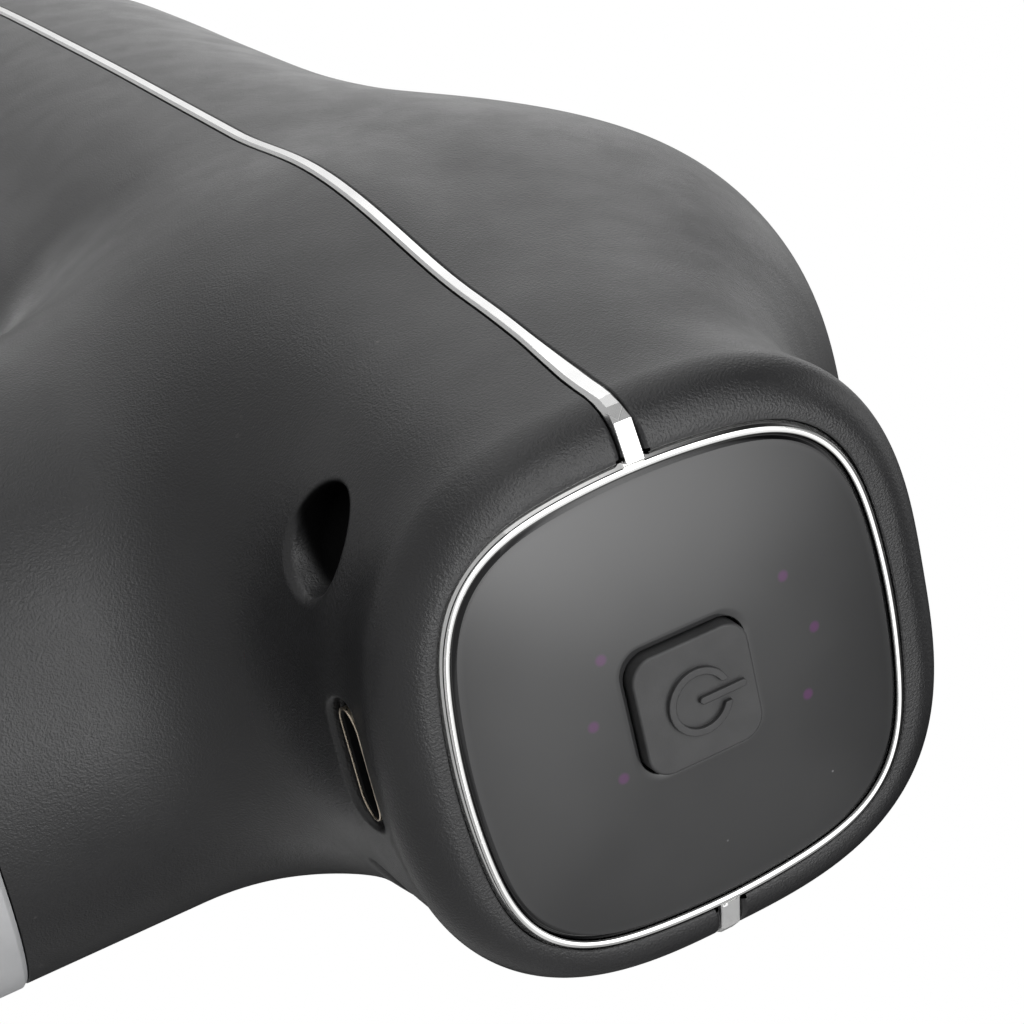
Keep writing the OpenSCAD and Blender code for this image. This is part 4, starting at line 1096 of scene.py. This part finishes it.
# ------------------------------------------------------------ floor and light
# Soft lights all round: direction, strength and how narrow each is.
LIGHTS = [
    ((0.70, 0.66, -0.28), 10.69, 60), ((0.71, -0.63, -0.31), 7.57, 60), ((-0.08, -0.96, -0.26), 7.34, 60),
    ((-0.18, 0.95, 0.27), 5.20, 40), ((0.96, -0.16, -0.22), 4.89, 60), ((0.37, 0.91, 0.19), 4.57, 60),
    ((0.63, 0.70, 0.33), 3.79, 60), ((0.15, 0.89, 0.42), 3.14, 60), ((1.00, 0.05, 0.01), 1.61, 60),
    ((0.76, -0.58, 0.29), 1.57, 60), ((0.81, 0.58, 0.10), 1.46, 60), ((-0.33, 0.79, 0.51), 1.36, 60),
    ((0.18, -0.79, 0.58), 1.33, 60), ((0.25, 0.95, -0.19), 1.27, 60), ((-0.50, 0.85, 0.13), 1.21, 60),
    ((0.65, -0.76, 0.06), 1.14, 60), ((0.94, -0.29, 0.15), 1.12, 60), ((0.49, -0.76, 0.44), 1.12, 60),
    ((0.00, -0.94, 0.35), 1.09, 60), ((-0.09, -0.68, 0.72), 1.06, 60), ((0.87, -0.49, -0.08), 1.03, 60),
    ((0.53, -0.52, 0.67), 1.00, 60), ((0.92, -0.08, 0.38), 0.94, 60), ((0.34, -0.92, 0.21), 0.91, 60),
    ((-0.63, 0.68, 0.37), 0.77, 60), ((0.91, 0.39, -0.13), 0.71, 60), ((0.14, -0.99, -0.03), 0.71, 60),
    ((0.94, 0.26, 0.24), 0.70, 60), ((-0.77, 0.64, -0.01), 0.62, 60), ((0.77, -0.36, 0.53), 0.53, 60),
    ((-0.93, 0.33, -0.15), 0.43, 60), ((-0.99, 0.12, 0.08), 0.32, 60), ((-0.97, -0.22, -0.06), 0.25, 60),
    ((-0.87, 0.45, 0.22), 0.20, 60), ((-0.89, -0.42, 0.17), 0.13, 60), ((-0.88, 0.35, 0.33), 0.50, 90),
    ((0.00, 0.00, 1.00), 1.40, 16),
]
FILL = 0.01

world = bpy.data.worlds.new("studio")
scene.world = world
world.use_nodes = True


def studio(lights, fill):
    t = world.node_tree
    t.nodes.clear()
    d = t.nodes.new("ShaderNodeTexCoord").outputs["Generated"]
    total = fill
    for v, power, narrow in lights:
        v = Vector(v).normalized()
        c = put(t, "VectorMath", {0: d, 1: v}, operation="DOT_PRODUCT").outputs["Value"]
        c = math2(t, "MULTIPLY", math2(t, "POWER", math2(t, "MAXIMUM", c, 0.0), float(narrow)), float(power))
        total = math2(t, "ADD", c, total)
    lit = put(t, "Background", {"Color": (1, 1, 1, 1), "Strength": total})
    plain = put(t, "Background", {"Color": (1, 1, 1, 1), "Strength": 1.0})
    mix = put(t, "MixShader", {0: t.nodes.new("ShaderNodeLightPath").outputs["Is Camera Ray"], 1: lit.outputs[0], 2: plain.outputs[0]})
    out = t.nodes.new("ShaderNodeOutputWorld")
    t.links.new(mix.outputs[0], out.inputs["Surface"])


studio(LIGHTS, FILL)
scene.view_settings.view_transform = "Standard"
scene.view_settings.look = "None"

me = bpy.data.meshes.new("floor")
me.from_pydata([(-1.5, -1.5, 0), (1.5, -1.5, 0), (1.5, 1.5, 0), (-1.5, 1.5, 0)], [], [(0, 1, 2, 3)])
floor = bpy.data.objects.new("floor", me)
floor_mat, floor_t, floor_b = start("floor_pale")
floor_t.links.new(blend_col(floor_t, noise(floor_t, 60.0, 2.0), (0.78, 0.78, 0.78), (0.82, 0.82, 0.82)), floor_b.inputs["Base Color"])
floor_b.inputs["Roughness"].default_value = 0.6
me.materials.append(floor_mat)
scene.collection.objects.link(floor)
